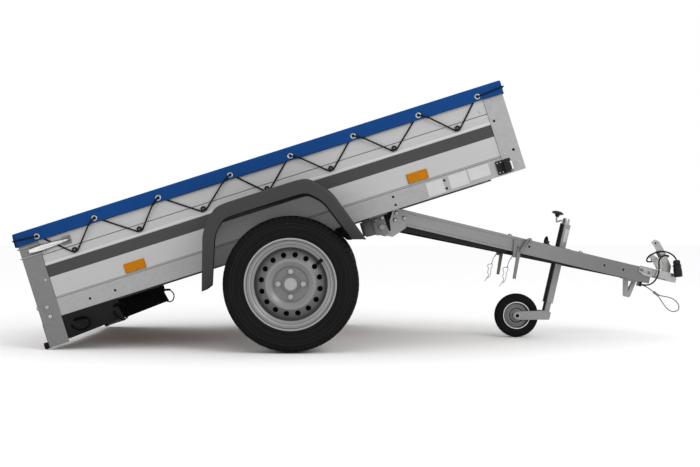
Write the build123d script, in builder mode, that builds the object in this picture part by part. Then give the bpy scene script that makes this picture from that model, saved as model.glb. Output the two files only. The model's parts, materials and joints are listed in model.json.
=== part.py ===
from build123d import *
import os
from math import asin, atan, atan2, cos, degrees, hypot, radians, sin, tan

# Tipping utility trailer, in millimetres. +X points forward to the coupling, +Y to the left and
# +Z up from the floor. The trailer is parked with its bed tipped back on two rubber buffers, and
# the drawbar hinges under the bed and stands on a jockey wheel.
#
# Four frames are used. The bed frame starts at the rear end of the sills' lower edge, x forward
# and z square to the floor panel. The drawbar frame starts at the pivot, x along the drawbar, and
# the nose frame is its copy at the arms' front end. The wheel frames start at a wheel's centre.
# `on` carries a plane of such a frame into place.

# ---- driving dimensions: bed ----
BED_LENGTH = 2070
BED_WIDTH = 1150
SILL_HEIGHT = 72
SIDE_HEIGHT = 300
PANEL = 25            # wall thickness of the sides, the front and the tailgate
SHEET = 3             # folded steel of sills, cross-members, posts and brackets
PLY = 9               # floor panel
SILL_FLANGE = 40
MEMBER_WIDTH = 40     # cross-member, measured along the bed
MEMBER_HEIGHT = 45
FRONT_MEMBER_BELOW = 20   # height of the front member's lower edge above the sills' edge
MIDDLE_MEMBERS = (640, 1330)   # rear faces of the middle cross-members
POST = 80             # side flange of a corner post
POST_RETURN = 28      # end flange of a corner post
POST_DROP = 112       # how far the rear posts reach below the sills
GROOVE_HEIGHT = 187   # pressed groove of the side panel, above the sill
GROOVE = 2
RIDGE_HEIGHT = 140    # lower edge of the ridge band, above the sill
RIDGE_BAND = 15
RIDGE_PROUD = 3

# ---- driving dimensions: running gear ----
TYRE_R = 273.5
TYRE_WIDTH = 155
RIM_R = 184           # over the rim's flanges
RIM_WIDTH = 132
WHEEL_GAP = 14.5      # between a tyre's inner side and the sill
AXLE_FROM_REAR = 1021
AXLE_BELOW = 158      # wheel centre below the sills' lower edge
AXLE_ARM = 140        # swinging arm, from the axle tube to the stub axle
AXLE_TUBE = 60
AXLE_TUBE_RISE = 59   # tube centre above the wheel centre
ARM_THICK = 20
STUB_R = 17.5
HUB_R = 40
HUB_FLANGE_R = 65
HUB_FACE = 29         # the wheel disc's seat, outboard of the wheel's centre plane
CAP_R = 27
FENDER_WIDTH = 184
FENDER_SHELL = 4

# ---- driving dimensions: drawbar and jockey wheel ----
PIVOT_FROM_REAR = 1441
PIVOT_BELOW = 52
PIVOT_TUBE_R = 20
PIVOT_BOLT_R = 10
DRAWBAR_SLOPE = 12.94     # degrees below level when parked
ARM_LENGTH = 1255
ARM_HEIGHT = 66
ARM_WIDTH = 40
ARM_RISE = 27         # lower edge of the arms above the pivot's line
ARM_SPREAD = 470      # outer face of an arm at the pivot, from the middle
ARM_NOSE = 48         # outer face of an arm at its front end, from the middle
JOCKEY_ALONG = 833
JOCKEY_TUBE_R = 24
JOCKEY_TUBE_WALL = 3.5
JOCKEY_LEG_PLAY = 3   # radial, between the leg and the tube that it winds out of
JOCKEY_TUBE_TOP = 205
JOCKEY_TUBE_BOTTOM = -161
JOCKEY_WHEEL_R = 100
JOCKEY_WHEEL_WIDTH = 50
JOCKEY_TRAIL = 128
COUPLING_LAP = 65     # of the coupling on the arms
COUPLING_REACH = 130  # of the coupling past the arms' front end
BALL_AHEAD = 88       # ball's middle past the arms' front end
BALL_R = 25
BALL_FIT = 0.2        # radial, between ball and socket
SOCKET_DEPTH = 24

# ---- driving dimensions: tarpaulin ----
CLOTH = 3
SKIRT = 57            # height of the tarpaulin's skirt
SKIRT_OUT = 10        # the skirt's inner face, outside the side panels
EYELETS = (0.041, 0.16, 0.292, 0.441, 0.565, 0.695, 0.83, 0.952)   # shares of the bed's length
HOOKS = (0.104, 0.238, 0.37, 0.502, 0.634, 0.765, 0.896)
CORD_R = 3.2
EYELET_R = 9
HOOK_HEIGHT = 168     # hooks above the sill
EYELET_BELOW = 37     # eyelets below the tarpaulin's top

# ---- clearances ----
FIT = 0.3             # between pieces laid or bolted together
MOVE = 5              # kept around pieces that move
PIN_FIT = 0.05        # radial, around pins that turn

# ---- derived places ----
HALF = BED_WIDTH / 2
TRACK = BED_WIDTH + TYRE_WIDTH + 2 * WHEEL_GAP
COUPLING_TIP = ARM_LENGTH + COUPLING_REACH
BALL_ALONG = ARM_LENGTH + BALL_AHEAD
FLOOR_TOP = SILL_HEIGHT
TOP = SILL_HEIGHT + SIDE_HEIGHT
BUFFER_R = 13.5
BUFFER_LENGTH = 21
BUFFER_Z = BUFFER_R - POST_DROP - 1.5
TARP_REAR = -SHEET - 4
TARP_LOW = TOP + FIT
TARP_TOP = TARP_LOW + CLOTH

# The bed tips back until the buffers' lower rear edges touch the floor.
buffer_back = AXLE_FROM_REAR + SHEET + BUFFER_LENGTH
buffer_up = AXLE_BELOW + BUFFER_Z - BUFFER_R
TILT = degrees(asin(TYRE_R / hypot(buffer_back, buffer_up)) + atan2(buffer_up, buffer_back))

# The origin lies midway between the tarpaulin's upper rear edge and the coupling's tip.
tilt, slope = radians(TILT), radians(DRAWBAR_SLOPE)
pivot_x = (PIVOT_FROM_REAR - AXLE_FROM_REAR) * cos(tilt) - (AXLE_BELOW - PIVOT_BELOW) * sin(tilt)
rear_x = (TARP_REAR - CLOTH - AXLE_FROM_REAR) * cos(tilt) - (TARP_TOP + AXLE_BELOW) * sin(tilt)
front_x = pivot_x + COUPLING_TIP * cos(slope) + (ARM_RISE + ARM_HEIGHT / 2) * sin(slope)
AXLE_X = -(rear_x + front_x) / 2

BED = Pos(AXLE_X, 0, TYRE_R) * Rot(0, -TILT, 0) * Pos(-AXLE_FROM_REAR, 0, AXLE_BELOW)
DRAWBAR = BED * Pos(PIVOT_FROM_REAR, 0, -PIVOT_BELOW) * Rot(0, TILT + DRAWBAR_SLOPE, 0)
NOSE = DRAWBAR * Pos(ARM_LENGTH, 0, 0)
PIVOT_Z = DRAWBAR.position.Z

# The jockey leg is wound out until its wheel meets the floor.
WHEEL_ALONG = JOCKEY_ALONG - JOCKEY_TRAIL
WHEEL_DOWN = (JOCKEY_WHEEL_R - PIVOT_Z + WHEEL_ALONG * sin(slope)) / cos(slope)
FORK_LEVEL = WHEEL_DOWN + JOCKEY_TRAIL * tan(slope)

ARM_ANGLE = degrees(atan((ARM_SPREAD - ARM_NOSE) / ARM_LENGTH))


def on(place, plane):
    """The given plane of a sub-frame, carried to where the sub-frame lies."""
    return Plane(place * plane.location)


def block(x, y, z):
    """A box in the current frame, from (low, high) along each axis."""
    with Locations(((x[0] + x[1]) / 2, (y[0] + y[1]) / 2, (z[0] + z[1]) / 2)):
        Box(x[1] - x[0], y[1] - y[0], z[1] - z[0])


def sided(side, inner, outer):
    """A (low, high) span across the trailer, on the side given as 1 or -1."""
    return tuple(sorted((side * inner, side * outer)))


def finish(piece, label):
    """Names a finished piece and writes it."""
    piece.part.label = label
    export_step(piece.part, f"parts/{label}.step")


def arm_y(along):
    """Outer face of a drawbar arm at a distance along the drawbar."""
    return ARM_SPREAD - along * tan(radians(ARM_ANGLE))


def wheel_frame(side):
    """A wheel's frame: x forward, y outboard, z up on the right and down on the left."""
    return Plane(origin=(AXLE_X, side * TRACK / 2, TYRE_R), x_dir=(1, 0, 0), z_dir=(0, 0, side))


os.makedirs("parts", exist_ok=True)
SIDES = ((1, "left"), (-1, "right"))

# ================================================================ bed frame

SILL_HOLE_R = 4
SILL_HOLES = (
    # along the bed, height
    (213, 31),
    (321, 32),
    (BED_LENGTH - 550, 52),
    (BED_LENGTH - 550, 17.5),
    (BED_LENGTH - 330, 53),
    (BED_LENGTH - 330, 19),
)
for side, name in SIDES:
    with BuildPart() as sill:
        with BuildSketch(on(BED, Plane.YZ)):
            with BuildLine():
                web, lip = side * HALF, side * (HALF - SILL_FLANGE)
                inner = side * (HALF - SHEET)
                shelf = SILL_HEIGHT - PLY
                Polyline(
                    (web, 0), (web, SILL_HEIGHT), (inner, SILL_HEIGHT), (inner, shelf), (lip, shelf),
                    (lip, shelf - SHEET), (inner, shelf - SHEET), (inner, SHEET), (lip, SHEET),
                    (lip, 0), close=True,
                )
            make_face()
        extrude(amount=BED_LENGTH)
        with BuildSketch(on(BED, Plane.XZ)):
            with Locations(*SILL_HOLES):
                Circle(SILL_HOLE_R)
        extrude(amount=BED_WIDTH, both=True, mode=Mode.SUBTRACT)
    finish(sill, f"sill_{name}")

MEMBERS = (
    # rear face, lower edge
    (0, SILL_HEIGHT - PLY - MEMBER_HEIGHT),
    (MIDDLE_MEMBERS[0], SILL_HEIGHT - PLY - MEMBER_HEIGHT),
    (MIDDLE_MEMBERS[1], SILL_HEIGHT - PLY - MEMBER_HEIGHT),
    (BED_LENGTH - MEMBER_WIDTH, FRONT_MEMBER_BELOW),
)
with BuildPart(on(BED, Plane.XY)) as cross_members:
    for rear, low in MEMBERS:
        block((rear, rear + MEMBER_WIDTH), (SILL_FLANGE - HALF, HALF - SILL_FLANGE),
              (low, SILL_HEIGHT - PLY))
finish(cross_members, "cross_members")

with BuildPart(on(BED, Plane.XY)) as floor_panel:
    block((0, BED_LENGTH), (SHEET - HALF, HALF - SHEET), (SILL_HEIGHT - PLY, SILL_HEIGHT))
finish(floor_panel, "floor_panel")

for side, name in SIDES:
    with BuildPart() as side_panel:
        outer, inner = side * HALF, side * (HALF - PANEL)
        with BuildSketch(on(BED, Plane.YZ)):
            with BuildLine():
                groove = FLOOR_TOP + GROOVE_HEIGHT
                Polyline(
                    (inner, FLOOR_TOP), (outer - side * GROOVE, FLOOR_TOP), (outer, FLOOR_TOP + GROOVE),
                    (outer, groove - GROOVE), (outer - side * GROOVE, groove), (outer, groove + GROOVE),
                    (outer, TOP), (inner, TOP), close=True,
                )
            make_face()
        extrude(amount=BED_LENGTH)
        ridge = FLOOR_TOP + RIDGE_HEIGHT
        with BuildSketch(on(BED, Plane.YZ.offset(POST))):
            with BuildLine():
                Polyline(
                    (outer, ridge), (outer + side * RIDGE_PROUD, ridge + RIDGE_PROUD),
                    (outer + side * RIDGE_PROUD, ridge + RIDGE_BAND - RIDGE_PROUD),
                    (outer, ridge + RIDGE_BAND), close=True,
                )
            make_face()
        extrude(amount=BED_LENGTH - 2 * POST)
    finish(side_panel, f"side_panel_{name}")

with BuildPart(on(BED, Plane.XY)) as front_panel:
    block((BED_LENGTH - PANEL, BED_LENGTH), (PANEL - HALF, HALF - PANEL), (FLOOR_TOP, TOP))
finish(front_panel, "front_panel")


def corner_posts(end, step, low):
    """Two angle posts at one end of the bed; step is 1 where the bed lies ahead of them."""
    for side, _ in SIDES:
        flank = sided(side, HALF, HALF + SHEET)
        block(sorted((end, end + step * POST)), flank, (low, TOP))
        block(sorted((end - step * SHEET, end)), sided(side, HALF - POST_RETURN, HALF + SHEET), (low, TOP))


with BuildPart(on(BED, Plane.XY)) as rear_posts:
    corner_posts(0, 1, -POST_DROP)
finish(rear_posts, "rear_posts")

POST_HOLES = (
    # behind the front end, height, radius
    (63, 223, 3.5),
    (23, 88, 6),
)
with BuildPart(on(BED, Plane.XY)) as front_posts:
    corner_posts(BED_LENGTH, -1, 0)
    for behind, height, radius in POST_HOLES:
        with BuildSketch(on(BED, Plane.XZ)):
            with Locations((BED_LENGTH - behind, height)):
                Circle(radius)
        extrude(amount=BED_WIDTH, both=True, mode=Mode.SUBTRACT)
finish(front_posts, "front_posts")

with BuildPart() as buffers:
    for side, _ in SIDES:
        with BuildSketch(on(BED, Plane.YZ.offset(-SHEET - BUFFER_LENGTH))):
            with Locations((side * (HALF - BUFFER_R + SHEET), BUFFER_Z)):
                Circle(BUFFER_R)
        extrude(amount=BUFFER_LENGTH)
finish(buffers, "rubber_buffers")

# ---- lamps, reflectors and their brackets ----
GUARD_OUTLINE = (
    # along the bed, height
    (SHEET, 0),
    (313, 0),
    (313, -60),
    (293, -80),
    (150, -80),
    (130, -100),
    (SHEET, -85),
)
with BuildPart() as lamp_guards:
    for side, _ in SIDES:
        plane = Plane.XZ.offset(-side * HALF)
        with BuildSketch(on(BED, plane)):
            with BuildLine():
                Polyline(*GUARD_OUTLINE, close=True)
            make_face()
        extrude(amount=side * SHEET)
finish(lamp_guards, "lamp_guards")

BOARD_LOW = -100
BOARD_HIGH = 0
with BuildPart(on(BED, Plane.XY)) as lamp_board:
    block((0, SHEET), (-HALF, HALF), (BOARD_LOW, BOARD_HIGH))
finish(lamp_board, "lamp_board")

LAMP_WIDTH = 200
LAMP_HEIGHT = 84
LAMP_DEPTH = 18
with BuildPart(on(BED, Plane.XY)) as rear_lamps:
    for side, _ in SIDES:
        outboard = HALF - POST_RETURN - MOVE
        middle = (BOARD_LOW + BOARD_HIGH) / 2
        block((-LAMP_DEPTH, 0), sided(side, outboard - LAMP_WIDTH, outboard),
              (middle - LAMP_HEIGHT / 2, middle + LAMP_HEIGHT / 2))
finish(rear_lamps, "rear_lamps")

REFLECTORS = (428, 1640)   # middles, along the bed
REFLECTOR_HALF = 44
REFLECTOR_PROUD = 6
REFLECTOR_SPAN = (FLOOR_TOP + 10, FLOOR_TOP + 50)
with BuildPart(on(BED, Plane.XY)) as side_reflectors:
    for along in REFLECTORS:
        for side, _ in SIDES:
            block((along - REFLECTOR_HALF, along + REFLECTOR_HALF), sided(side, HALF, HALF + REFLECTOR_PROUD),
                  REFLECTOR_SPAN)
finish(side_reflectors, "side_reflectors")

MARKER_ALONG = BED_LENGTH - 80
MARKER_HALF = 32
MARKER_PLATE = (5, 62)    # lower and upper edge of the marker lamp's plate
MARKER_LAMP = (8, 50)
MARKER_LAMP_LENGTH = 28
MARKER_LAMP_OUT = 28
with BuildPart(on(BED, Plane.XY)) as marker_lamps:
    for side, _ in SIDES:
        proud = HALF + SHEET
        front = MARKER_ALONG + MARKER_HALF
        block((MARKER_ALONG - MARKER_HALF, front), sided(side, proud, proud + SHEET), MARKER_PLATE)
        block((front - MARKER_LAMP_LENGTH, front), sided(side, proud + SHEET, proud + MARKER_LAMP_OUT), MARKER_LAMP)
finish(marker_lamps, "front_marker_lamps")

# ================================================================ running gear

TUBE_ALONG = AXLE_FROM_REAR + AXLE_ARM
TUBE_Z = AXLE_TUBE_RISE - AXLE_BELOW
ARM_OUT = HALF - 10
HANGER = 45
with BuildPart(on(BED, Plane.XY)) as axle_tube:
    block((TUBE_ALONG - AXLE_TUBE / 2, TUBE_ALONG + AXLE_TUBE / 2), (ARM_THICK - ARM_OUT, ARM_OUT - ARM_THICK),
          (TUBE_Z - AXLE_TUBE / 2, TUBE_Z + AXLE_TUBE / 2))
    for side, _ in SIDES:
        for face in (HALF - SILL_FLANGE, ARM_OUT - ARM_THICK - SHEET):
            block((TUBE_ALONG - HANGER, TUBE_ALONG + HANGER), sided(side, face, face + SHEET),
                  (TUBE_Z + AXLE_TUBE / 2, 0))
        block((TUBE_ALONG - HANGER, TUBE_ALONG + HANGER),
              sided(side, HALF - SILL_FLANGE, ARM_OUT - ARM_THICK),
              (TUBE_Z + AXLE_TUBE / 2, TUBE_Z + AXLE_TUBE / 2 + SHEET))
finish(axle_tube, "axle_tube")

STUB_END = HUB_FACE - 14  # outboard of the wheel's centre plane
ARM_EYE = 28
ARM_ROOT = 38
with BuildPart() as axle_arms:
    for side, _ in SIDES:
        with BuildSketch(on(BED, Plane.XZ.offset(-side * (ARM_OUT - ARM_THICK)))):
            with BuildLine():
                CenterArc((AXLE_FROM_REAR, -AXLE_BELOW), ARM_EYE, 0, 360)
                CenterArc((TUBE_ALONG, TUBE_Z), ARM_ROOT, 0, 360)
            make_hull()
        extrude(amount=-side * ARM_THICK)
        wheel_side = on(BED, Plane(origin=(AXLE_FROM_REAR, side * ARM_OUT, -AXLE_BELOW), z_dir=(0, side, 0)))
        with BuildSketch(wheel_side):
            Circle(STUB_R)
        extrude(amount=TRACK / 2 + STUB_END - ARM_OUT)
finish(axle_arms, "axle_arms")

BARREL = RIM_R - 12       # bead seat
WELL = RIM_R - 32
RIM_SHEET = 5
EDGE = RIM_WIDTH / 2
DISC_SHEET = 4
DISC_SEAT = WELL - RIM_SHEET + 2      # the disc's outer edge bites into the barrel
DISC_ROOT = HUB_FLANGE_R + 1
DISC_STEP = (DISC_SEAT - DISC_ROOT) / 83      # the dish is drawn on 83 equal steps
BOLT_FACE = HUB_FACE + DISC_SHEET
DISC = (
    # radius, place outboard of the wheel's centre plane
    (DISC_SEAT, 10),
    (DISC_ROOT + 65 * DISC_STEP, 26),
    (DISC_ROOT + 39 * DISC_STEP, 43),
    (DISC_ROOT + 34 * DISC_STEP, 47),
    (DISC_ROOT + 24 * DISC_STEP, 47),
    (DISC_ROOT + 10 * DISC_STEP, BOLT_FACE + 4),
    (DISC_ROOT, BOLT_FACE),
    (CAP_R + 1.6, BOLT_FACE),
)
VENTS = 16
VENT_R = 11
VENT_CIRCLE = DISC_ROOT + 52 * DISC_STEP
BOLTS = 4
BOLT_CIRCLE = 50
WHEEL_BOLT_R = 6

for side, name in SIDES:
    frame = wheel_frame(side)
    axis = Axis(frame.origin, frame.y_dir)
    with BuildPart() as tyre:
        with BuildSketch(frame):
            with BuildLine():
                half_tread = TYRE_WIDTH / 2 - 14
                crown = TYRE_R - 6
                ThreePointArc((crown, -half_tread), (TYRE_R, 0), (crown, half_tread))
                ThreePointArc((crown, half_tread), (TYRE_R - 45, TYRE_WIDTH / 2), (RIM_R + 2, EDGE + 1))
                Polyline((RIM_R + 2, EDGE + 1), (RIM_R + 2, EDGE - 8), (BARREL + FIT, EDGE - 10),
                         (BARREL + FIT, 10 - EDGE), (RIM_R + 2, 8 - EDGE), (RIM_R + 2, -EDGE - 1))
                ThreePointArc((RIM_R + 2, -EDGE - 1), (TYRE_R - 45, -TYRE_WIDTH / 2), (crown, -half_tread))
            make_face()
        revolve(axis=axis)
    finish(tyre, f"tyre_{name}")

    with BuildPart() as rim:
        with BuildSketch(frame):
            with BuildLine():
                skin = RIM_SHEET
                Polyline(
                    (RIM_R, EDGE), (RIM_R, EDGE - skin), (BARREL, EDGE - 8), (BARREL, EDGE - 24),
                    (WELL, EDGE - 32), (WELL, -4), (BARREL, -22), (BARREL, 8 - EDGE), (RIM_R, skin - EDGE),
                    (RIM_R, -EDGE), (RIM_R - 8, -EDGE), (BARREL - skin, 11 - EDGE), (BARREL - skin, -24),
                    (WELL - skin, -6), (WELL - skin, EDGE - 29), (BARREL - skin, EDGE - 21),
                    (BARREL - skin, EDGE - 11), (RIM_R - 8, EDGE), close=True,
                )
            make_face()
            with BuildLine():
                back = tuple((r, w - DISC_SHEET) for r, w in reversed(DISC))
                Polyline(*DISC, *back, close=True)
            make_face()
        revolve(axis=axis)
        face = Plane(origin=frame.origin, x_dir=(0, 0, 1), z_dir=frame.y_dir)
        with BuildSketch(face):
            with PolarLocations(VENT_CIRCLE, VENTS, start_angle=14):
                Circle(VENT_R)
            with PolarLocations(BOLT_CIRCLE, BOLTS):
                Circle(WHEEL_BOLT_R + FIT)
        extrude(amount=EDGE, mode=Mode.SUBTRACT)
    finish(rim, f"rim_{name}")

    with BuildPart() as hub:
        with BuildSketch(frame):
            with BuildLine():
                bore = STUB_R + PIN_FIT
                Polyline(
                    (bore, -35), (HUB_R, -35), (HUB_R, HUB_FACE - 10), (HUB_FLANGE_R, HUB_FACE - 10),
                    (HUB_FLANGE_R, HUB_FACE), (CAP_R, HUB_FACE), (CAP_R, HUB_FACE + 17),
                    (CAP_R - 4, HUB_FACE + 21), (0, HUB_FACE + 21), (0, HUB_FACE - 12),
                    (bore, HUB_FACE - 12), close=True,
                )
            make_face()
        revolve(axis=axis)
        with BuildSketch(face.offset(33)):
            with PolarLocations(BOLT_CIRCLE, BOLTS):
                RegularPolygon(10, 6)
        extrude(amount=9)
        with BuildSketch(face.offset(HUB_FACE)):
            with PolarLocations(BOLT_CIRCLE, BOLTS):
                Circle(WHEEL_BOLT_R)
        extrude(amount=DISC_SHEET)
    finish(hub, f"hub_{name}")

# ================================================================ mudguards

# Outline of a mudguard above the wheel centre: distance ahead, height. It is mirrored behind.
FENDER_OUTLINE = ((340, 80), (266, 302), (211, 363), (188, 379), (152, 385))
FENDER_INNER = ((289, 95), (224, 275), (184, 315), (168, 325), (140, 329))
FENDER_INBOARD = HALF + MOVE


def fender_points(half):
    """The whole outline from the front foot over the wheel to the rear foot."""
    return tuple((AXLE_FROM_REAR + x, z - AXLE_BELOW) for x, z in half) + tuple(
        (AXLE_FROM_REAR - x, z - AXLE_BELOW) for x, z in reversed(half))


def towards_axle(half, by):
    """The outline's points moved straight towards the wheel centre."""
    return tuple((x - by * x / hypot(x, z), z - by * z / hypot(x, z)) for x, z in half)


for side, name in SIDES:
    with BuildPart() as fender:
        outer, inner = fender_points(FENDER_OUTLINE), fender_points(FENDER_INNER)
        under = fender_points(towards_axle(FENDER_OUTLINE, FENDER_SHELL))
        with BuildSketch(on(BED, Plane.XZ.offset(-side * FENDER_INBOARD))):
            with BuildLine():
                Polyline(*outer, *reversed(under), close=True)
            make_face()
        extrude(amount=-side * FENDER_WIDTH)
        with BuildSketch(on(BED, Plane.XZ.offset(-side * (FENDER_INBOARD + FENDER_WIDTH - FENDER_SHELL)))):
            with BuildLine():
                Polyline(*outer, *reversed(inner), close=True)
            make_face()
        extrude(amount=-side * FENDER_SHELL)
    finish(fender, f"fender_{name}")

STAY = 4
STAY_REACH = 125
STAY_SHARES = (0.45, 0.6)   # from the mudguard's foot to its first bend
foot, bend = towards_axle(FENDER_OUTLINE[:2], FENDER_SHELL)
with BuildPart() as fender_stays:
    for side, _ in SIDES:
        for way in (1, -1):
            seat = [(foot[0] + share * (bend[0] - foot[0]), foot[1] + share * (bend[1] - foot[1]))
                    for share in STAY_SHARES]
            corners = seat + list(reversed(towards_axle(seat, STAY)))
            with BuildSketch(on(BED, Plane.XZ.offset(-side * HALF))):
                with BuildLine():
                    Polyline(*((AXLE_FROM_REAR + way * x, z - AXLE_BELOW) for x, z in corners), close=True)
                make_face()
            extrude(amount=-side * STAY_REACH)
finish(fender_stays, "fender_stays")

# ================================================================ tailgate

HINGE_X = -8
HINGE_Z = 58
HINGE_PIN = 5
KNUCKLE = 8
KNUCKLE_LENGTH = 36
HINGE_AT = 380            # hinges, from the middle
GATE_HALF = HALF - PANEL - MOVE
GATE_LOW = FLOOR_TOP + 2

with BuildPart(on(BED, Plane.XY)) as tailgate_panel:
    block((0, PANEL), (-GATE_HALF, GATE_HALF), (GATE_LOW, TOP - 2))
finish(tailgate_panel, "tailgate_panel")

with BuildPart() as tailgate_leaves:
    for side, _ in SIDES:
        for step in (-1, 1):
            middle = side * HINGE_AT + step * (KNUCKLE_LENGTH + FIT)
            with BuildSketch(on(BED, Plane.XZ.offset(-middle - KNUCKLE_LENGTH / 2))):
                with Locations((HINGE_X, HINGE_Z)):
                    Circle(KNUCKLE)
                with Locations((-SHEET / 2, HINGE_Z + 40)):
                    Rectangle(SHEET, 80)
                with Locations((HINGE_X / 2 - SHEET / 2, HINGE_Z + KNUCKLE - SHEET / 2)):
                    Rectangle(-HINGE_X - SHEET, SHEET)
                with Locations((HINGE_X, HINGE_Z)):
                    Circle(HINGE_PIN + PIN_FIT, mode=Mode.SUBTRACT)
            extrude(amount=KNUCKLE_LENGTH)
finish(tailgate_leaves, "tailgate_leaves")

with BuildPart() as hinge_pins:
    for side, _ in SIDES:
        middle = side * HINGE_AT
        with BuildSketch(on(BED, Plane.XZ.offset(-middle - KNUCKLE_LENGTH / 2))):
            with Locations((HINGE_X, HINGE_Z)):
                Circle(KNUCKLE)
            with Locations((HINGE_X / 2, HINGE_Z - KNUCKLE / 2)):
                Rectangle(-HINGE_X, KNUCKLE)
        extrude(amount=KNUCKLE_LENGTH)
        with BuildSketch(on(BED, Plane.XZ.offset(-middle - 1.5 * KNUCKLE_LENGTH - 4))):
            with Locations((HINGE_X, HINGE_Z)):
                Circle(HINGE_PIN)
        extrude(amount=3 * KNUCKLE_LENGTH + 8)
finish(hinge_pins, "tailgate_hinge_pins")

# ---- over-centre catches: the lever stays on the side, the wire bail goes with the tailgate ----
CATCH_Z = FLOOR_TOP + 216
LEVER_REAR = 36
LEVER_LENGTH = 175
LEVER_HALF = 13
LEVER_THICK = 6
CATCH_BASE = 28           # along the bed, at the lever's front end
BAIL_R = 2.2
BAIL_HALF = 20
BAIL_OUT = HALF + SHEET + BAIL_R + FIT
BAIL_FRONT = 96
BAIL_BEND = 9
HOOK_INBOARD = 60         # the bail's end, from the tailgate's end
HOOK_DEPTH = 8
lever_end = LEVER_REAR + LEVER_LENGTH
bail_rear = -SHEET - BAIL_R - 6
with BuildPart(on(BED, Plane.XY)) as catch_levers:
    for side, _ in SIDES:
        lever_face = BAIL_OUT + BAIL_R + FIT
        block((lever_end - CATCH_BASE, lever_end), sided(side, HALF, lever_face), (CATCH_Z - 18, CATCH_Z + 18))
        block((LEVER_REAR, lever_end), sided(side, lever_face, lever_face + LEVER_THICK),
              (CATCH_Z - LEVER_HALF, CATCH_Z + LEVER_HALF))
finish(catch_levers, "catch_levers")

with BuildPart() as catch_bails:
    for side, _ in SIDES:
        outer, inner = side * BAIL_OUT, side * (GATE_HALF - HOOK_INBOARD)
        for step in (-1, 1):
            with BuildLine(on(BED, Plane.XY.offset(CATCH_Z + step * BAIL_HALF))) as wire:
                FilletPolyline((BAIL_FRONT, outer), (bail_rear, outer), (bail_rear, inner), radius=BAIL_BEND)
            with BuildSketch(Plane(origin=wire.line @ 0, z_dir=wire.line % 0)):
                Circle(BAIL_R)
            sweep(path=wire.line)
    with Locations(on(BED, Plane.XY)):
        for side, _ in SIDES:
            reach = BAIL_HALF + BAIL_R
            block((BAIL_FRONT - BAIL_R, BAIL_FRONT + BAIL_R), sided(side, BAIL_OUT - BAIL_R, BAIL_OUT + BAIL_R),
                  (CATCH_Z - reach, CATCH_Z + reach))
            reach = BAIL_HALF + HOOK_DEPTH
            inboard = GATE_HALF - HOOK_INBOARD
            block((bail_rear - BAIL_R - 2, 0), sided(side, inboard - 24, inboard + 2),
                  (CATCH_Z - reach, CATCH_Z + reach))
finish(catch_bails, "catch_bails")

# ================================================================ tarpaulin and its lacing

TARP_OUT = HALF + SKIRT_OUT
TARP_FRONT = BED_LENGTH + SHEET + 4
eyelets = [share * BED_LENGTH for share in EYELETS]
hooks = [share * BED_LENGTH for share in HOOKS]
HOOK_Z = FLOOR_TOP + HOOK_HEIGHT
EYELET_Z = TARP_TOP - EYELET_BELOW
HOOK_NECK = 5
HOOK_CAP = 11
CORD_IN = HALF + CORD_R + FIT
CORD_OUT = TARP_OUT + CLOTH + CORD_R + FIT

with BuildPart(on(BED, Plane.XY)) as tarp:
    block((TARP_REAR, TARP_FRONT + CLOTH), (-TARP_OUT - CLOTH, TARP_OUT + CLOTH), (TARP_LOW, TARP_TOP))
    block((TARP_FRONT, TARP_FRONT + CLOTH), (-TARP_OUT - CLOTH, TARP_OUT + CLOTH), (TARP_TOP - SKIRT, TARP_TOP))
    for side, _ in SIDES:
        block((TARP_REAR, TARP_FRONT + CLOTH), sided(side, TARP_OUT, TARP_OUT + CLOTH),
              (TARP_TOP - SKIRT, TARP_TOP))
    with BuildSketch(on(BED, Plane.XZ)):
        with Locations(*((along, EYELET_Z) for along in eyelets)):
            Circle(EYELET_R)
    extrude(amount=BED_WIDTH, both=True, mode=Mode.SUBTRACT)
finish(tarp, "tarpaulin")

with BuildPart(on(BED, Plane.XY)) as tarp_flap:
    block((TARP_REAR - CLOTH, TARP_REAR), (-TARP_OUT - CLOTH, TARP_OUT + CLOTH), (TARP_TOP - SKIRT, TARP_TOP))
finish(tarp_flap, "tarp_rear_flap")

with BuildPart() as tarp_hooks:
    for side, _ in SIDES:
        for height, radius, start, end in (
            (HOOK_Z, HOOK_NECK, HALF, HALF + 9),
            (HOOK_Z, HOOK_CAP, HALF + 9, HALF + 13),
        ):
            with BuildSketch(on(BED, Plane.XZ.offset(-side * start))):
                with Locations(*((along, height) for along in hooks)):
                    Circle(radius)
            extrude(amount=-side * (end - start))
finish(tarp_hooks, "tarp_hooks")


KNEE = 0.28               # share of an outer run that lies on the skirt
KNEE_Z = TARP_TOP - SKIRT - 6


def lacing(side):
    """The cord's corner points along one side, from the rear corner to the front one."""
    middle = len(hooks) // 2
    under = HOOK_Z - HOOK_NECK - CORD_R - 1
    reach = HOOK_NECK + CORD_R
    points = [(TARP_REAR, CORD_OUT, EYELET_Z + 8)]
    for index, along in enumerate(eyelets):
        enters, leaves = (CORD_OUT, CORD_IN) if index <= middle else (CORD_IN, CORD_OUT)
        if index > 0 and enters == CORD_OUT:
            points.append((along - 5 + KNEE * (hooks[index - 1] + reach - along), CORD_OUT, KNEE_Z))
        points.append((along - 5, enters, EYELET_Z))
        points.append((along + 5, leaves, EYELET_Z - 1))
        if index < len(hooks):
            if leaves == CORD_OUT:
                points.append((along + 5 + KNEE * (hooks[index] - reach - along), CORD_OUT, KNEE_Z))
            points.append((hooks[index] - reach, CORD_IN, under))
            points.append((hooks[index] + reach, CORD_IN, under + 1))
    points.append((TARP_FRONT, CORD_OUT, EYELET_Z + 7))
    return [(x, side * y, z) for x, y, z in points]


def rounded(points, largest=None):
    """A radius for each corner, as large as the two runs beside it allow."""
    radii = []
    for before, at, after in zip(points, points[1:], points[2:]):
        one, two = Vector(*at) - Vector(*before), Vector(*after) - Vector(*at)
        radius = 0.45 * min(one.length, two.length) / tan(radians(one.get_angle(two)) / 2)
        radii.append(min(radius, largest) if largest else radius)
    return radii


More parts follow.
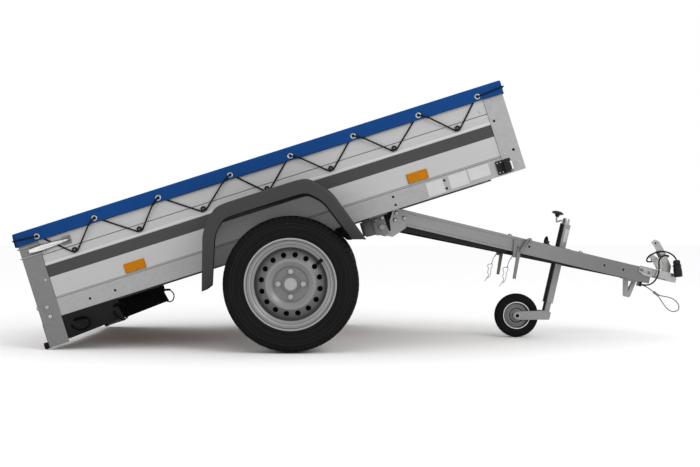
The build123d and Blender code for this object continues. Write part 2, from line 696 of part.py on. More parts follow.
def cord(place, points, radius, largest=None):
    """A round cord along straight runs and tangent arcs through a sub-frame's points."""
    points = [tuple((place * Pos(*point)).position) for point in points]
    with BuildLine() as route:
        FilletPolyline(*points, radius=rounded(points, largest))
    with BuildSketch(Plane(origin=route.line @ 0, z_dir=route.line % 0)) as profile:
        Circle(radius)
    sweep(sections=profile.sketch, path=route.line)


WRAP = CLOTH + CORD_R + FIT
lace_z = EYELET_Z + 8
with BuildPart() as tarp_cord:
    across = [(TARP_FRONT + WRAP, -CORD_OUT, lace_z), (TARP_FRONT + WRAP, CORD_OUT, lace_z)]
    cord(BED, lacing(-1) + across + lacing(1)[::-1], CORD_R, largest=9)
finish(tarp_cord, "tarp_cord")

with BuildPart() as flap_cord:
    start, back = TARP_REAR - FIT, TARP_REAR - WRAP
    cord(BED, [(start, -CORD_OUT, lace_z), (back, -CORD_OUT, lace_z + 1), (back, CORD_OUT, lace_z + 1),
               (start, CORD_OUT, lace_z)], CORD_R, largest=3)
finish(flap_cord, "flap_cord")

# ================================================================ drawbar hinge under the bed

PLATE_IN = ARM_SPREAD + 16
PLATE = 6
EYE_R = 28
BRACKET_REAR = PIVOT_FROM_REAR - 42
BRACKET_FRONT = PIVOT_FROM_REAR + 36
BRACKET_ROOT = 8          # height of the plate's straight top part
WASHER = 6                # between a bracket and the pivot tube
BOLT_REACH = 46           # of a pivot bolt into the pivot tube
BOLT_HEAD_R = 18
BOLT_HEAD = 11
with BuildPart() as hinge_brackets:
    for side, _ in SIDES:
        with BuildSketch(on(BED, Plane.XZ.offset(-side * PLATE_IN))):
            with BuildLine():
                CenterArc((PIVOT_FROM_REAR, -PIVOT_BELOW), EYE_R, 0, 360)
                Polyline((BRACKET_REAR, 0), (BRACKET_FRONT, 0), (BRACKET_FRONT, -BRACKET_ROOT),
                         (BRACKET_REAR, -BRACKET_ROOT), close=True)
            make_hull()
            with Locations((PIVOT_FROM_REAR, -PIVOT_BELOW)):
                Circle(PIVOT_BOLT_R + PIN_FIT, mode=Mode.SUBTRACT)
        extrude(amount=-side * PLATE)
    with Locations(on(BED, Plane.XY)):
        for side, _ in SIDES:
            block((BRACKET_REAR, BRACKET_FRONT), sided(side, PLATE_IN, HALF - SHEET), (-PLATE, 0))
finish(hinge_brackets, "hinge_brackets")

with BuildPart() as pivot_bolts:
    for side, _ in SIDES:
        start = side * (PLATE_IN - WASHER - BOLT_REACH)
        axle = on(BED, Plane(origin=(PIVOT_FROM_REAR, start, -PIVOT_BELOW), z_dir=(0, side, 0)))
        length = BOLT_REACH + WASHER + PLATE
        with BuildSketch(axle):
            Circle(PIVOT_BOLT_R)
        extrude(amount=length)
        with BuildSketch(axle.offset(length)):
            RegularPolygon(BOLT_HEAD_R, 6)
        extrude(amount=BOLT_HEAD)
finish(pivot_bolts, "pivot_bolts")

# ================================================================ drawbar

with BuildPart() as pivot_tube:
    with BuildSketch(on(DRAWBAR, Plane.XZ.offset(WASHER - PLATE_IN))):
        Circle(PIVOT_TUBE_R)
    extrude(amount=2 * (PLATE_IN - WASHER))
    for side, _ in SIDES:
        end = on(DRAWBAR, Plane(origin=(0, side * (PLATE_IN - WASHER), 0), z_dir=(0, -side, 0)))
        with BuildSketch(end):
            Circle(PIVOT_BOLT_R + PIN_FIT)
        extrude(amount=BOLT_REACH + 4, mode=Mode.SUBTRACT)
finish(pivot_tube, "pivot_tube")

ARM_TOP = ARM_RISE + ARM_HEIGHT
ARM_BACK = -15
for side, name in SIDES:
    with BuildPart() as arm:
        with BuildSketch(on(DRAWBAR, Plane.XY.offset(ARM_RISE))):
            with BuildLine():
                Polyline(
                    (ARM_BACK, side * arm_y(ARM_BACK)), (ARM_LENGTH, side * arm_y(ARM_LENGTH)),
                    (ARM_LENGTH, side * (arm_y(ARM_LENGTH) - ARM_WIDTH)),
                    (ARM_BACK, side * (arm_y(ARM_BACK) - ARM_WIDTH)), close=True,
                )
            make_face()
        extrude(amount=ARM_HEIGHT)
    finish(arm, f"drawbar_arm_{name}")


def arm_face(side, along=0):
    """Plane of an arm's outer face: x along the arm, y up, z outward."""
    turn = radians(ARM_ANGLE)
    return on(DRAWBAR, Plane(origin=(along, side * arm_y(along), 0), x_dir=(cos(turn), -side * sin(turn), 0),
                             z_dir=(side * sin(turn) * side, side * cos(turn), 0)))


def upright(side, height):
    """A height on an arm's face: its plane's y points down on the left and up on the right."""
    return -side * height


def on_face(side, corners):
    """An outline's corners on an arm's face, from places along the arm and heights."""
    return [(x, upright(side, z)) for x, z in corners]


GUSSET = 4
GUSSET_OUTLINE = (
    # along the arm, height
    (ARM_BACK, -24),
    (4, -30),
    (56, -30),
    (105, 20),
    (105, 80),
    (94, 90),
    (10, 90),
    (ARM_BACK, 60),
)
with BuildPart() as gussets:
    for side, _ in SIDES:
        with BuildSketch(arm_face(side)):
            with BuildLine():
                Polyline(*on_face(side, GUSSET_OUTLINE), close=True)
            make_face()
        extrude(amount=GUSSET)
    with BuildSketch(on(DRAWBAR, Plane.XZ)):
        Circle(PIVOT_TUBE_R + FIT)
    extrude(amount=BED_WIDTH, both=True, mode=Mode.SUBTRACT)
finish(gussets, "gusset_plates")

TIE_ALONG = JOCKEY_ALONG + 62
TIE_WIDTH = 40
TIE_HEIGHT = 50
CLAMP_R = JOCKEY_TUBE_R + 10
CLAMP_LOW = ARM_RISE + 8
CLAMP_HEIGHT = TIE_HEIGHT + 14
KNOB_BELOW = 16           # screw's root, below the clamp's upper edge
KNOB_SCREW_R = 7
KNOB_SCREW = 34
KNOB_R = 15
KNOB = 16
with BuildPart() as drawbar_tie:
    tie_half = arm_y(TIE_ALONG) - ARM_WIDTH
    lean = TIE_WIDTH / 2 * tan(radians(ARM_ANGLE))
    with BuildSketch(on(DRAWBAR, Plane.XY.offset(CLAMP_LOW))):
        with BuildLine():
            Polyline(
                (TIE_ALONG - TIE_WIDTH / 2, tie_half + lean), (TIE_ALONG + TIE_WIDTH / 2, tie_half - lean),
                (TIE_ALONG + TIE_WIDTH / 2, lean - tie_half), (TIE_ALONG - TIE_WIDTH / 2, -tie_half - lean),
                close=True,
            )
        make_face()
    extrude(amount=TIE_HEIGHT)
finish(drawbar_tie, "drawbar_tie")

with BuildPart() as jockey_clamp:
    with BuildSketch(on(DRAWBAR, Plane.XY.offset(CLAMP_LOW))):
        with Locations((JOCKEY_ALONG, 0)):
            Circle(CLAMP_R)
        with Locations(((JOCKEY_ALONG + TIE_ALONG - TIE_WIDTH / 2) / 2, 0)):
            Rectangle(TIE_ALONG - TIE_WIDTH / 2 - JOCKEY_ALONG, 2 * CLAMP_R)
    extrude(amount=CLAMP_HEIGHT)
    with BuildSketch(on(DRAWBAR, Plane.XY.offset(CLAMP_LOW))):
        with Locations((JOCKEY_ALONG, 0)):
            Circle(JOCKEY_TUBE_R + FIT)
    extrude(amount=CLAMP_HEIGHT, mode=Mode.SUBTRACT)
    root = (JOCKEY_ALONG - CLAMP_R + 3, 0, CLAMP_LOW + CLAMP_HEIGHT - KNOB_BELOW)
    knob = on(DRAWBAR, Plane(origin=root, z_dir=(-1, 0, 0.6)))
    with BuildSketch(knob):
        Circle(KNOB_SCREW_R)
    extrude(amount=KNOB_SCREW)
    with BuildSketch(knob.offset(KNOB_SCREW)):
        Circle(KNOB_R)
    extrude(amount=KNOB)
finish(jockey_clamp, "jockey_clamp")

# ---- jockey wheel: the tube slides in its clamp, the leg winds out of the tube ----

LEG_R = JOCKEY_TUBE_R - JOCKEY_TUBE_WALL - JOCKEY_LEG_PLAY
LEG_GUIDE = 24            # length of the bush in the tube's lower end, where the leg runs
with BuildPart() as jockey_tube:
    with BuildSketch(on(DRAWBAR, Plane.XY.offset(JOCKEY_TUBE_BOTTOM))):
        with Locations((JOCKEY_ALONG, 0)):
            Circle(JOCKEY_TUBE_R)
            Circle(JOCKEY_TUBE_R - JOCKEY_TUBE_WALL, mode=Mode.SUBTRACT)
    extrude(amount=JOCKEY_TUBE_TOP - JOCKEY_TUBE_BOTTOM)
    with BuildSketch(on(DRAWBAR, Plane.XY.offset(JOCKEY_TUBE_BOTTOM))):
        with Locations((JOCKEY_ALONG, 0)):
            Circle(JOCKEY_TUBE_R)
            Circle(LEG_R + PIN_FIT, mode=Mode.SUBTRACT)
    extrude(amount=LEG_GUIDE)
finish(jockey_tube, "jockey_tube")

CRANK_ARM = 50            # from the tube's middle to the grip's
CRANK_CAP = 14
CRANK = (
    # behind the tube's middle, radius, start above the tube's top, end
    (0, JOCKEY_TUBE_R + 2, 0, CRANK_CAP),
    (0, 11, CRANK_CAP, 24),
    (CRANK_ARM, 6, 24, 38),
    (CRANK_ARM, 15, 38, 52),
)
CRANK_BAR = (18, 24)      # lower and upper side of the bent arm
CRANK_BAR_WIDTH = 18
with BuildPart() as jockey_crank:
    head = on(DRAWBAR, Plane.XY.offset(JOCKEY_TUBE_TOP))
    for behind, radius, start, end in CRANK:
        with BuildSketch(head.offset(start)):
            with Locations((JOCKEY_ALONG - behind, 0)):
                Circle(radius)
        extrude(amount=end - start)
    with BuildSketch(head.offset(CRANK_BAR[0])):
        with Locations((JOCKEY_ALONG - CRANK_ARM / 2 - 1, 0)):
            SlotCenterToCenter(CRANK_ARM + 2, CRANK_BAR_WIDTH)
    extrude(amount=CRANK_BAR[1] - CRANK_BAR[0])
finish(jockey_crank, "jockey_crank")

CROWN_HEIGHT = 22
CROWN_TOP = FORK_LEVEL + 19
CROWN_HALF = 19           # along the drawbar
LEG_BELOW = 60            # the leg's upper end, below the tube's top
FORK_EYE = 19
FORK_REAR, FORK_FRONT = 24, 15   # how far the cheeks' edges start below the fork's level
CHEEK = 4
CHEEK_HALF = JOCKEY_WHEEL_WIDTH / 2 + 6
SWIVEL_R = 10
AXLE_PIN = 8
AXLE_PIN_OUT = 8          # of the pin past the fork's cheeks
with BuildPart() as jockey_leg:
    with BuildSketch(on(DRAWBAR, Plane.XY.offset(CROWN_TOP + FIT))):
        with Locations((JOCKEY_ALONG, 0)):
            Circle(LEG_R)
    extrude(amount=JOCKEY_TUBE_TOP - LEG_BELOW - CROWN_TOP)
    with BuildSketch(on(DRAWBAR, Plane.XY.offset(CROWN_TOP - CROWN_HEIGHT + 2))):
        with Locations((JOCKEY_ALONG, 0)):
            Circle(SWIVEL_R)
    extrude(amount=CROWN_HEIGHT)
finish(jockey_leg, "jockey_leg")

with BuildPart() as jockey_fork:
    with BuildSketch(on(DRAWBAR, Plane.XY.offset(CROWN_TOP - CROWN_HEIGHT))):
        with Locations((JOCKEY_ALONG, 0)):
            Rectangle(2 * CROWN_HALF, 2 * (CHEEK_HALF + CHEEK))
            Circle(SWIVEL_R + PIN_FIT, mode=Mode.SUBTRACT)
    extrude(amount=CROWN_HEIGHT)
    for side, _ in SIDES:
        with BuildSketch(on(DRAWBAR, Plane.XZ.offset(-side * CHEEK_HALF))):
            with BuildLine():
                rear, front = JOCKEY_ALONG - CROWN_HALF, JOCKEY_ALONG + CROWN_HALF
                CenterArc((WHEEL_ALONG, WHEEL_DOWN), FORK_EYE, 0, 360)
                Polyline((front, CROWN_TOP), (rear, CROWN_TOP), (rear, FORK_LEVEL - FORK_REAR),
                         (front, FORK_LEVEL - FORK_FRONT), close=True)
            make_hull()
        extrude(amount=-side * CHEEK)
    pin_half = CHEEK_HALF + CHEEK + AXLE_PIN_OUT
    with BuildSketch(on(DRAWBAR, Plane.XZ.offset(-pin_half))):
        with Locations((WHEEL_ALONG, WHEEL_DOWN)):
            Circle(AXLE_PIN)
    extrude(amount=2 * pin_half)
finish(jockey_fork, "jockey_fork")

jockey_axle = on(DRAWBAR, Plane(origin=(WHEEL_ALONG, 0, WHEEL_DOWN), x_dir=(1, 0, 0), z_dir=(0, 0, 1)))
JOCKEY_RIM_R = 62
BOSS_R = 20
DISC_HALF = 10
with BuildPart() as jockey_rim:
    with BuildSketch(jockey_axle):
        with BuildLine():
            wide = JOCKEY_WHEEL_WIDTH / 2 - 4
            boss = CHEEK_HALF - 1
            bore = AXLE_PIN + PIN_FIT
            Polyline(
                (bore, -boss), (BOSS_R, -boss), (BOSS_R + 2, -DISC_HALF), (JOCKEY_RIM_R - 8, -DISC_HALF),
                (JOCKEY_RIM_R - 6, -wide), (JOCKEY_RIM_R, -wide), (JOCKEY_RIM_R, wide), (JOCKEY_RIM_R - 6, wide),
                (JOCKEY_RIM_R - 8, DISC_HALF), (BOSS_R + 2, DISC_HALF), (BOSS_R, boss), (bore, boss), close=True,
            )
        make_face()
    revolve(axis=Axis(jockey_axle.origin, jockey_axle.y_dir))
finish(jockey_rim, "jockey_rim")

with BuildPart() as jockey_tyre:
    with BuildSketch(jockey_axle):
        with BuildLine():
            half = JOCKEY_WHEEL_WIDTH / 2
            seat = JOCKEY_RIM_R + FIT
            Polyline((JOCKEY_WHEEL_R - 10, -half), (seat, -half + 2), (seat, half - 2), (JOCKEY_WHEEL_R - 10, half))
            ThreePointArc((JOCKEY_WHEEL_R - 10, half), (JOCKEY_WHEEL_R, 0), (JOCKEY_WHEEL_R - 10, -half))
        make_face()
    revolve(axis=Axis(jockey_axle.origin, jockey_axle.y_dir))
finish(jockey_tyre, "jockey_tyre")

# ================================================================ lock straps on the arms

STRAP_ALONG = 590
STRAP_LAYERS = (
    # start outside the arm's face, thickness, outline: along from the strap's place, height
    (0, 6, ((-16, 80), (2, 82), (18, 4), (0, 2))),
    (6, 4, ((10, 44), (28, 40), (34, -88), (20, -88))),
    (10, 6, ((18, 34), (32, 34), (68, 92), (60, 102), (46, 98))),
)
LOCK_WINDOW = ((30, 48), (59, 91), (52, 92))
with BuildPart() as lock_straps:
    for side, _ in SIDES:
        face = arm_face(side, STRAP_ALONG)
        for start, thick, outline in STRAP_LAYERS:
            with BuildSketch(face.offset(start)):
                with BuildLine():
                    Polyline(*on_face(side, outline), close=True)
                make_face()
            extrude(amount=thick)
        start, thick, _ = STRAP_LAYERS[-1]
        with BuildSketch(face.offset(start)):
            with BuildLine():
                Polyline(*on_face(side, LOCK_WINDOW), close=True)
            make_face()
        extrude(amount=thick, mode=Mode.SUBTRACT)
finish(lock_straps, "lock_straps")

# ================================================================ coupling

COUPLING_LOW = ARM_RISE + 31
COUPLING_HIGH = ARM_TOP + 4
COUPLING_SHEET = 4
COUPLING_STEP = 30        # start of the side plates' lower edge, along the arm
HEAD_R = COUPLING_TIP - BALL_ALONG
with BuildPart() as coupling:
    for side, _ in SIDES:
        with BuildSketch(arm_face(side, ARM_LENGTH - COUPLING_LAP)):
            reach = (COUPLING_LAP + 8) / cos(radians(ARM_ANGLE))
            corners = ((0, COUPLING_HIGH - 26), (0, COUPLING_HIGH - 4), (6, COUPLING_HIGH), (reach, COUPLING_HIGH),
                       (reach, COUPLING_LOW), (COUPLING_STEP, COUPLING_LOW))
            with BuildLine():
                Polyline(*on_face(side, corners), close=True)
            make_face()
        extrude(amount=COUPLING_SHEET)
    with BuildSketch(on(DRAWBAR, Plane.XY.offset(COUPLING_LOW))):
        with BuildLine():
            shoulder = (BALL_ALONG - 8, HEAD_R - 1)
            Polyline((shoulder[0], -shoulder[1]), (ARM_LENGTH + FIT, -ARM_NOSE),
                     (ARM_LENGTH + FIT, ARM_NOSE), shoulder)
            ThreePointArc(shoulder, (COUPLING_TIP, 0), (shoulder[0], -shoulder[1]))
        make_face()
    extrude(amount=COUPLING_HIGH - COUPLING_LOW)
    with BuildSketch(on(DRAWBAR, Plane.XZ)):
        with BuildLine():
            Polyline((BALL_ALONG + 12, COUPLING_HIGH), (COUPLING_TIP + 1, COUPLING_LOW + 16),
                     (COUPLING_TIP + 1, COUPLING_HIGH), close=True)
        make_face()
    extrude(amount=BED_WIDTH, both=True, mode=Mode.SUBTRACT)
    with BuildSketch(on(DRAWBAR, Plane.XY.offset(COUPLING_LOW))):
        with Locations((BALL_ALONG, 0)):
            Circle(BALL_R + BALL_FIT)
    extrude(amount=SOCKET_DEPTH, mode=Mode.SUBTRACT)
finish(coupling, "coupling_head")

HANDLE_HALF = 13
HANDLE_OUTLINES = (
    # ahead of the arms' front end, height: the grip, then the lock's lever
    ((55, COUPLING_HIGH), (63, 118), (25, 172), (-3, 204), (-17, 214), (-5, 231), (13, 226), (49, 186), (91, 128),
     (93, COUPLING_HIGH)),
    ((55, COUPLING_HIGH + 8), (35, 100), (7, 132), (-19, 150), (-7, 164), (25, 150), (57, 126)),
)
with BuildPart() as handle:
    with BuildSketch(on(NOSE, Plane.XZ.offset(-HANDLE_HALF))):
        for outline in HANDLE_OUTLINES:
            with BuildLine():
                Polyline(*outline, close=True)
            make_face()
    extrude(amount=2 * HANDLE_HALF)
finish(handle, "coupling_handle")

FOOT_HALF = 19
FOOT_PLATE = 4            # thickness of the plate that joins the arms over the foot
FOOT_PLATE_HALF = 50
FOOT_OUTLINE = (
    # ahead of the arms' front end, height
    (-106, ARM_RISE),
    (-89, -50),
    (-84, -55),
    (-68, -55),
    (-63, -50),
    (-50, ARM_RISE),
)
FOOT_WINDOW = ((-87, ARM_RISE - 8), (-78, -30), (-64, ARM_RISE - 8))
with BuildPart() as foot:
    with BuildSketch(on(NOSE, Plane.XZ.offset(-FOOT_HALF))):
        with BuildLine():
            Polyline(*FOOT_OUTLINE, close=True)
        make_face()
        with BuildLine():
            Polyline(*FOOT_WINDOW, close=True)
        make_face(mode=Mode.SUBTRACT)
    extrude(amount=2 * FOOT_HALF)
    with Locations(on(NOSE, Plane.XY)):
        block((FOOT_OUTLINE[0][0] - 6, FOOT_OUTLINE[-1][0] + 6), (-FOOT_PLATE_HALF, FOOT_PLATE_HALF),
              (ARM_RISE - FOOT_PLATE, ARM_RISE))
finish(foot, "support_foot")

CLIP_END = -25            # front face of the clip that the free cables start from
CLIP_LENGTH = 12
CLIP_HALF = 24
CLIP_LOW = 6
with BuildPart(on(NOSE, Plane.XY)) as cable_clip:
    block((CLIP_END - CLIP_LENGTH, CLIP_END), (-CLIP_HALF, CLIP_HALF), (CLIP_LOW, ARM_RISE))
finish(cable_clip, "cable_clip")

# ---- free cables at the coupling: corner points are along, across, up ----

POWER_R = 3.5
POWER_ROUTE = (
    (CLIP_END, 8, 16), (-5, -6, 16), (11, -34, 24), (22, -56, 44), (29, -64, 76), (26, -62, 108),
    (19, -54, 136), (29, -42, 160), (55, -26, 172), (77, 0, 172), (67, 28, 162), (39, 40, 146),
    (7, 32, 128), (-17, 10, 124), (-26, -14, 138), (-15, -30, 160), (11, -36, 178), (41, -40, 187),
    (69, -48, 182), (88, -57, 170), (94, -60, 160),
)
with BuildPart() as power_cable:
    cord(NOSE, POWER_ROUTE, POWER_R)
finish(power_cable, "power_cable")

PLUG_R = 19.5
PLUG_LENGTH = 78
PLUG_NECK_R = 11
PLUG_NECK = 14
PLUG_WAY = (0.345, 0, -0.938)
with BuildPart() as power_plug:
    body = on(NOSE, Plane(origin=POWER_ROUTE[-1], z_dir=PLUG_WAY))
    with BuildSketch(body):
        Circle(PLUG_NECK_R)
    extrude(amount=PLUG_NECK)
    with BuildSketch(body.offset(PLUG_NECK)):
        Circle(PLUG_R)
    extrude(amount=PLUG_LENGTH - PLUG_NECK)
finish(power_plug, "power_plug")

SAFETY_R = 2.5
SAFETY_ROUTE = (
    # it passes beside the socket's mouth
    (CLIP_END, -16, 14), (-5, -21, 12), (15, -28, 4), (32, -34, -5), (59, -38, -15), (86, -40, -14),
    (112, -41, -13), (138, -42, -21), (157, -43, -38), (161, -43, -57), (148, -42, -71), (125, -41, -74),
    (102, -40, -62), (81, -38, -42), (61, -37, -23),
)
with BuildPart() as safety_cable:
    cord(NOSE, SAFETY_ROUTE, SAFETY_R)
finish(safety_cable, "safety_cable")

FERRULE_R = 8
FERRULE_ENDS = ((32, -34, -5), (61, -37, -18))
with BuildPart() as ferrule:
    start, end = (Vector(*point) for point in FERRULE_ENDS)
    with BuildSketch(on(NOSE, Plane(origin=start, z_dir=end - start))):
        Circle(FERRULE_R)
    extrude(amount=(end - start).length)
finish(ferrule, "cable_ferrule")

LOOP_R = 4
LOOPS = (
    # start of each loop along the bed, and its lowest point
    (86, -96),
    (206, -92),
)
with BuildPart() as lamp_cables:
    for side, _ in SIDES:
        for along, low in LOOPS:
            face = side * HALF
            out = side * (HALF + 16)
            cord(BED, ((along, face, -50), (along, out, -54), (along + 6, out, -74), (along + 24, out, low),
                       (along + 46, out, -76), (along + 50, out, -56), (along + 50, face, -52)), LOOP_R)
finish(lamp_cables, "lamp_cables")
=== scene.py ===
# %% [markdown]
# # A tipping utility trailer
# The trailer's solid parts come from its CAD model, which stays where it is. This lesson gives every
# part its finish, then builds what CAD left plain: cords, tyres, cloth, mudguards, arms, fittings.

import json
import math

import bmesh
import bpy
from mathutils import Matrix, Vector, noise


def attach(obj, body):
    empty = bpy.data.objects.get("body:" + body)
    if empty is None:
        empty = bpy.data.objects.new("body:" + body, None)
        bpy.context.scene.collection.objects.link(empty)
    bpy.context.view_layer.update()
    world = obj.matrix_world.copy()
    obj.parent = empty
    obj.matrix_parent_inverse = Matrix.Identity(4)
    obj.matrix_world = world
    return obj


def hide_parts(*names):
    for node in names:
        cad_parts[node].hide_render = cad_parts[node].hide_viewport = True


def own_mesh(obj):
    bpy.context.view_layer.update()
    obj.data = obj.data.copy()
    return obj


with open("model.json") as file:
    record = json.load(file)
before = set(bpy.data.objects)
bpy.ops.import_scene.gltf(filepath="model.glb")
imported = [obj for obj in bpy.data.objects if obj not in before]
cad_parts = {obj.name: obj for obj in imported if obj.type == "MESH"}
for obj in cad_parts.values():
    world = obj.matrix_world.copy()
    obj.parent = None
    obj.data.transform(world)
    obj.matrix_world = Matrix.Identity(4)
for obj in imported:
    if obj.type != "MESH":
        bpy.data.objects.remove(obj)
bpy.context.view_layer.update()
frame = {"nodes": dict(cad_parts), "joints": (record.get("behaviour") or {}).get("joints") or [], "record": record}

# %% [markdown]
# The bed is tipped back and the drawbar slopes down, so both have frames of their own. Their turns
# are read from the joints instead of typed: the axle and the drawbar pivot are two points of the
# bed, and the jockey wheel slides square to the drawbar. A part is then described as if the trailer
# stood straight, and its frame carries it into place.

# %% Sub-frames of the trailer
JOINTS = {joint["name"]: joint for joint in frame["joints"]}
AXLE_IN_BED = Vector((1.021, 0, -0.158))
PIVOT_IN_BED = Vector((1.441, 0, -0.052))
ARM_LENGTH = 1.255
SIDES = ((1, "left"), (-1, "right"))

wheel_centre = {name: Vector(JOINTS[f"wheel_{name}_spin"]["pos_m"]) for _, name in SIDES}
axle = Vector((wheel_centre["left"].x, 0, wheel_centre["left"].z))
pivot = Vector(JOINTS["drawbar_fold"]["pos_m"])
run, straight = pivot - axle, PIVOT_IN_BED - AXLE_IN_BED
tilt = math.atan2(run.z, run.x) - math.atan2(straight.z, straight.x)
slide = Vector(JOINTS["jockey_tube_slide"]["axis"])
slope = math.atan2(slide.x, slide.z)


def shift(*step):
    """A frame moved by x, y and z."""
    return Matrix.Translation(step)


BED = Matrix.Translation(axle) @ Matrix.Rotation(-tilt, 4, "Y") @ Matrix.Translation(-AXLE_IN_BED)
DRAWBAR = Matrix.Translation(pivot) @ Matrix.Rotation(slope, 4, "Y")
NOSE = DRAWBAR @ shift(ARM_LENGTH, 0, 0)
print("bed tipped", round(math.degrees(tilt), 2), "drawbar down", round(math.degrees(slope), 2))


def extent(node, place):
    """Lowest and highest corner of a CAD node, measured along a sub-frame's axes."""
    inverse = place.inverted()
    points = [inverse @ vertex.co for vertex in frame["nodes"][node].data.vertices]
    return Vector(map(min, *points)), Vector(map(max, *points))


bed_low, bed_high = extent("side_panel_right", BED)
BED_LENGTH = bed_high.x - bed_low.x
HALF = -extent("sill_right", BED)[0].y
SILL_TOP, TOP = bed_low.z, bed_high.z
print("bed", round(BED_LENGTH, 3), "long,", round(2 * HALF, 3), "wide, walls", round(TOP - SILL_TOP, 3))

# %% [markdown]
# The camera comes first, because every later choice is judged through it. It stands at hip height,
# square to the trailer's right side, with a slightly long lens.

# %% Camera
scene = bpy.context.scene


def added(name, data):
    """A new object in the scene."""
    made = bpy.data.objects.new(name, data)
    scene.collection.objects.link(made)
    return made


camera = added("camera", bpy.data.cameras.new("camera"))
scene.camera = camera
camera.location = (-0.058, -5.195, 0.475)
camera.rotation_euler = (math.radians(90), 0, 0)
camera.data.lens = 58.1
camera.data.sensor_width = 36
print("camera", tuple(camera.location), camera.data.lens, "mm")

# %% [markdown]
# A finish is a small sum: speckles here, a stripe there, a little more roughness. Node trees say
# this in boxes and lines. The class below lets the lesson write it as arithmetic, and each sum adds
# its Math node to the tree.


# %% Arithmetic on shader sockets
class Wire:
    """One output of a shader tree that adds, multiplies and compares like a number."""

    def __init__(self, tree, socket):
        self.tree, self.socket = tree, socket

    def node(self, kind, inputs, outlet=0, **settings):
        """Adds a node, feeds it wires or values by input name or index, and returns an output."""
        made = self.tree.nodes.new(kind)
        for key, value in settings.items():
            setattr(made, key, value)
        for key, value in inputs.items():
            if isinstance(value, Wire):
                self.tree.links.new(value.socket, made.inputs[key])
            else:
                made.inputs[key].default_value = value
        return Wire(self.tree, made.outputs[outlet])

    def maths(self, operation, other=0.0, clamped=False):
        return self.node("ShaderNodeMath", {0: self, 1: other}, operation=operation, use_clamp=clamped)

    def __add__(self, other):
        return self.maths("ADD", other)

    __radd__ = __add__

    def __sub__(self, other):
        return self.maths("SUBTRACT", other)

    def __rsub__(self, other):
        return self.node("ShaderNodeMath", {0: other, 1: self}, operation="SUBTRACT")

    def __mul__(self, other):
        return self.maths("MULTIPLY", other)

    __rmul__ = __mul__

    def __gt__(self, other):
        return self.maths("GREATER_THAN", other)

    def __lt__(self, other):
        return self.maths("LESS_THAN", other)

    def along(self, direction):
        """How far this point lies along a direction."""
        return self.node("ShaderNodeVectorMath", {0: self, 1: tuple(direction)}, "Value",
                         operation="DOT_PRODUCT")

    def stretched(self, place, scale):
        """This point in a sub-frame's axes, scaled differently along each."""
        axes = [place.to_3x3().col[i] * scale[i] for i in range(3)]
        return self.node("ShaderNodeCombineXYZ", {i: self.along(axes[i]) for i in range(3)})

    def speckle(self, scale, detail=2.0, rough=0.5):
        """Soft noise from 0 to 1 at this point."""
        return self.node("ShaderNodeTexNoise", {"Vector": self, "Scale": scale, "Detail": detail,
                                                "Roughness": rough})

    def mixed(self, low, high):
        """A colour between two others, by this wire."""
        return self.node("ShaderNodeMix", {0: self, 6: low, 7: high}, 2, data_type="RGBA")

    def spread(self, low, high):
        """This 0 to 1 wire laid out between two numbers."""
        return self * (high - low) + low


def grey(value, warm=0.0):
    return (value * (1 + warm), value, value * (1 - warm), 1)


def mm(*points):
    """Points given in millimetres, as metres."""
    return tuple(tuple(value / 1000 for value in point) for point in points)


FINISHES = {}


def finish_named(name, build, **fixed):
    """A material whose Principled inputs are fixed numbers or come from build(point)."""
    material = bpy.data.materials.new(name)
    material.use_nodes = True
    tree = material.node_tree
    shader = tree.nodes["Principled BSDF"]
    point = Wire(tree, tree.nodes.new("ShaderNodeTexCoord").outputs["Object"])
    for key, value in {**fixed, **(build(point) if build else {})}.items():
        if isinstance(value, Wire):
            tree.links.new(value.socket, shader.inputs[key])
        else:
            shader.inputs[key].default_value = value
    FINISHES[name] = material
    return material


def bump(point, height, distance, strength=1.0):
    """A surface normal raised and lowered by a height wire."""
    return point.node("ShaderNodeBump", {"Height": height, "Distance": distance, "Strength": strength})


print("finishes can be mixed now")

# %% [markdown]
# Galvanised steel shows spangle, the frost-like crystals of the zinc. A Voronoi pattern gives cells
# of one size, and each cell shines a little differently. Rolled sheet has fine streaks along its
# length instead, so its noise is stretched along the bed.


# %% Metal finishes
def spangle(point, dark, light, scale=70.0):
    """Colour and roughness of galvanised steel at a point."""
    cells = point.node("ShaderNodeTexVoronoi", {"Vector": point, "Scale": scale}, "Color")
    shade = cells.node("ShaderNodeSeparateColor", {0: cells})
    cloud = point.speckle(6.0, 3.0)
    return {
        "Base Color": (shade * 0.6 + cloud * 0.4).mixed(grey(dark), grey(light)),
        "Roughness": shade.spread(0.42, 0.56),
    }


def rolled(point, dark, light):
    """Fine streaks along the bed, on a cloudy coated sheet."""
    streak = point.stretched(BED, (1.2, 90, 90)).speckle(3.0, 3.0)
    cloud = point.speckle(2.5)
    return (streak * 0.7 + cloud * 0.3).mixed(grey(dark), grey(light)), streak


STRIPE = (0.163, 0.212)   # height of the dark band on the walls
# painted highlight: the band over the pressed ridge is drawn lighter where it catches the light
RIDGE_HIGHLIGHT = (0.213, 0.227)    # the pressed ridge above it catches the light
# painted shade: thin dark lines at the folds, the groove and the gaps beside the posts
SEAM_SHADE_LEVELS = (SILL_TOP + 0.0012, SILL_TOP + 0.0065, 0.259)   # folded edges, seen as thin dark lines
SEAM_SHADE_HALF = 0.0014
REAR_EDGE = extent("rear_posts", BED)[1].x
FRONT_EDGE = extent("front_posts", BED)[0].x


def axis_of(point, place, index):
    """A point's place along one axis of a sub-frame."""
    axis = place.to_3x3().col[index]
    return point.along(axis) - axis.dot(place.translation)


def close_to(wire, value, reach):
    """1 where a wire is within reach of a value, 0 elsewhere."""
    return (wire - value).maths("ABSOLUTE") < reach


def radius_from(point, centre):
    """Distance from a wheel's axle line."""
    offset = point.node("ShaderNodeVectorMath", {0: point, 1: tuple(centre)}, operation="SUBTRACT")
    flat = offset.node("ShaderNodeVectorMath", {0: offset, 1: (1, 0, 1)}, operation="MULTIPLY")
    return flat.node("ShaderNodeVectorMath", {0: flat}, "Value", operation="LENGTH")


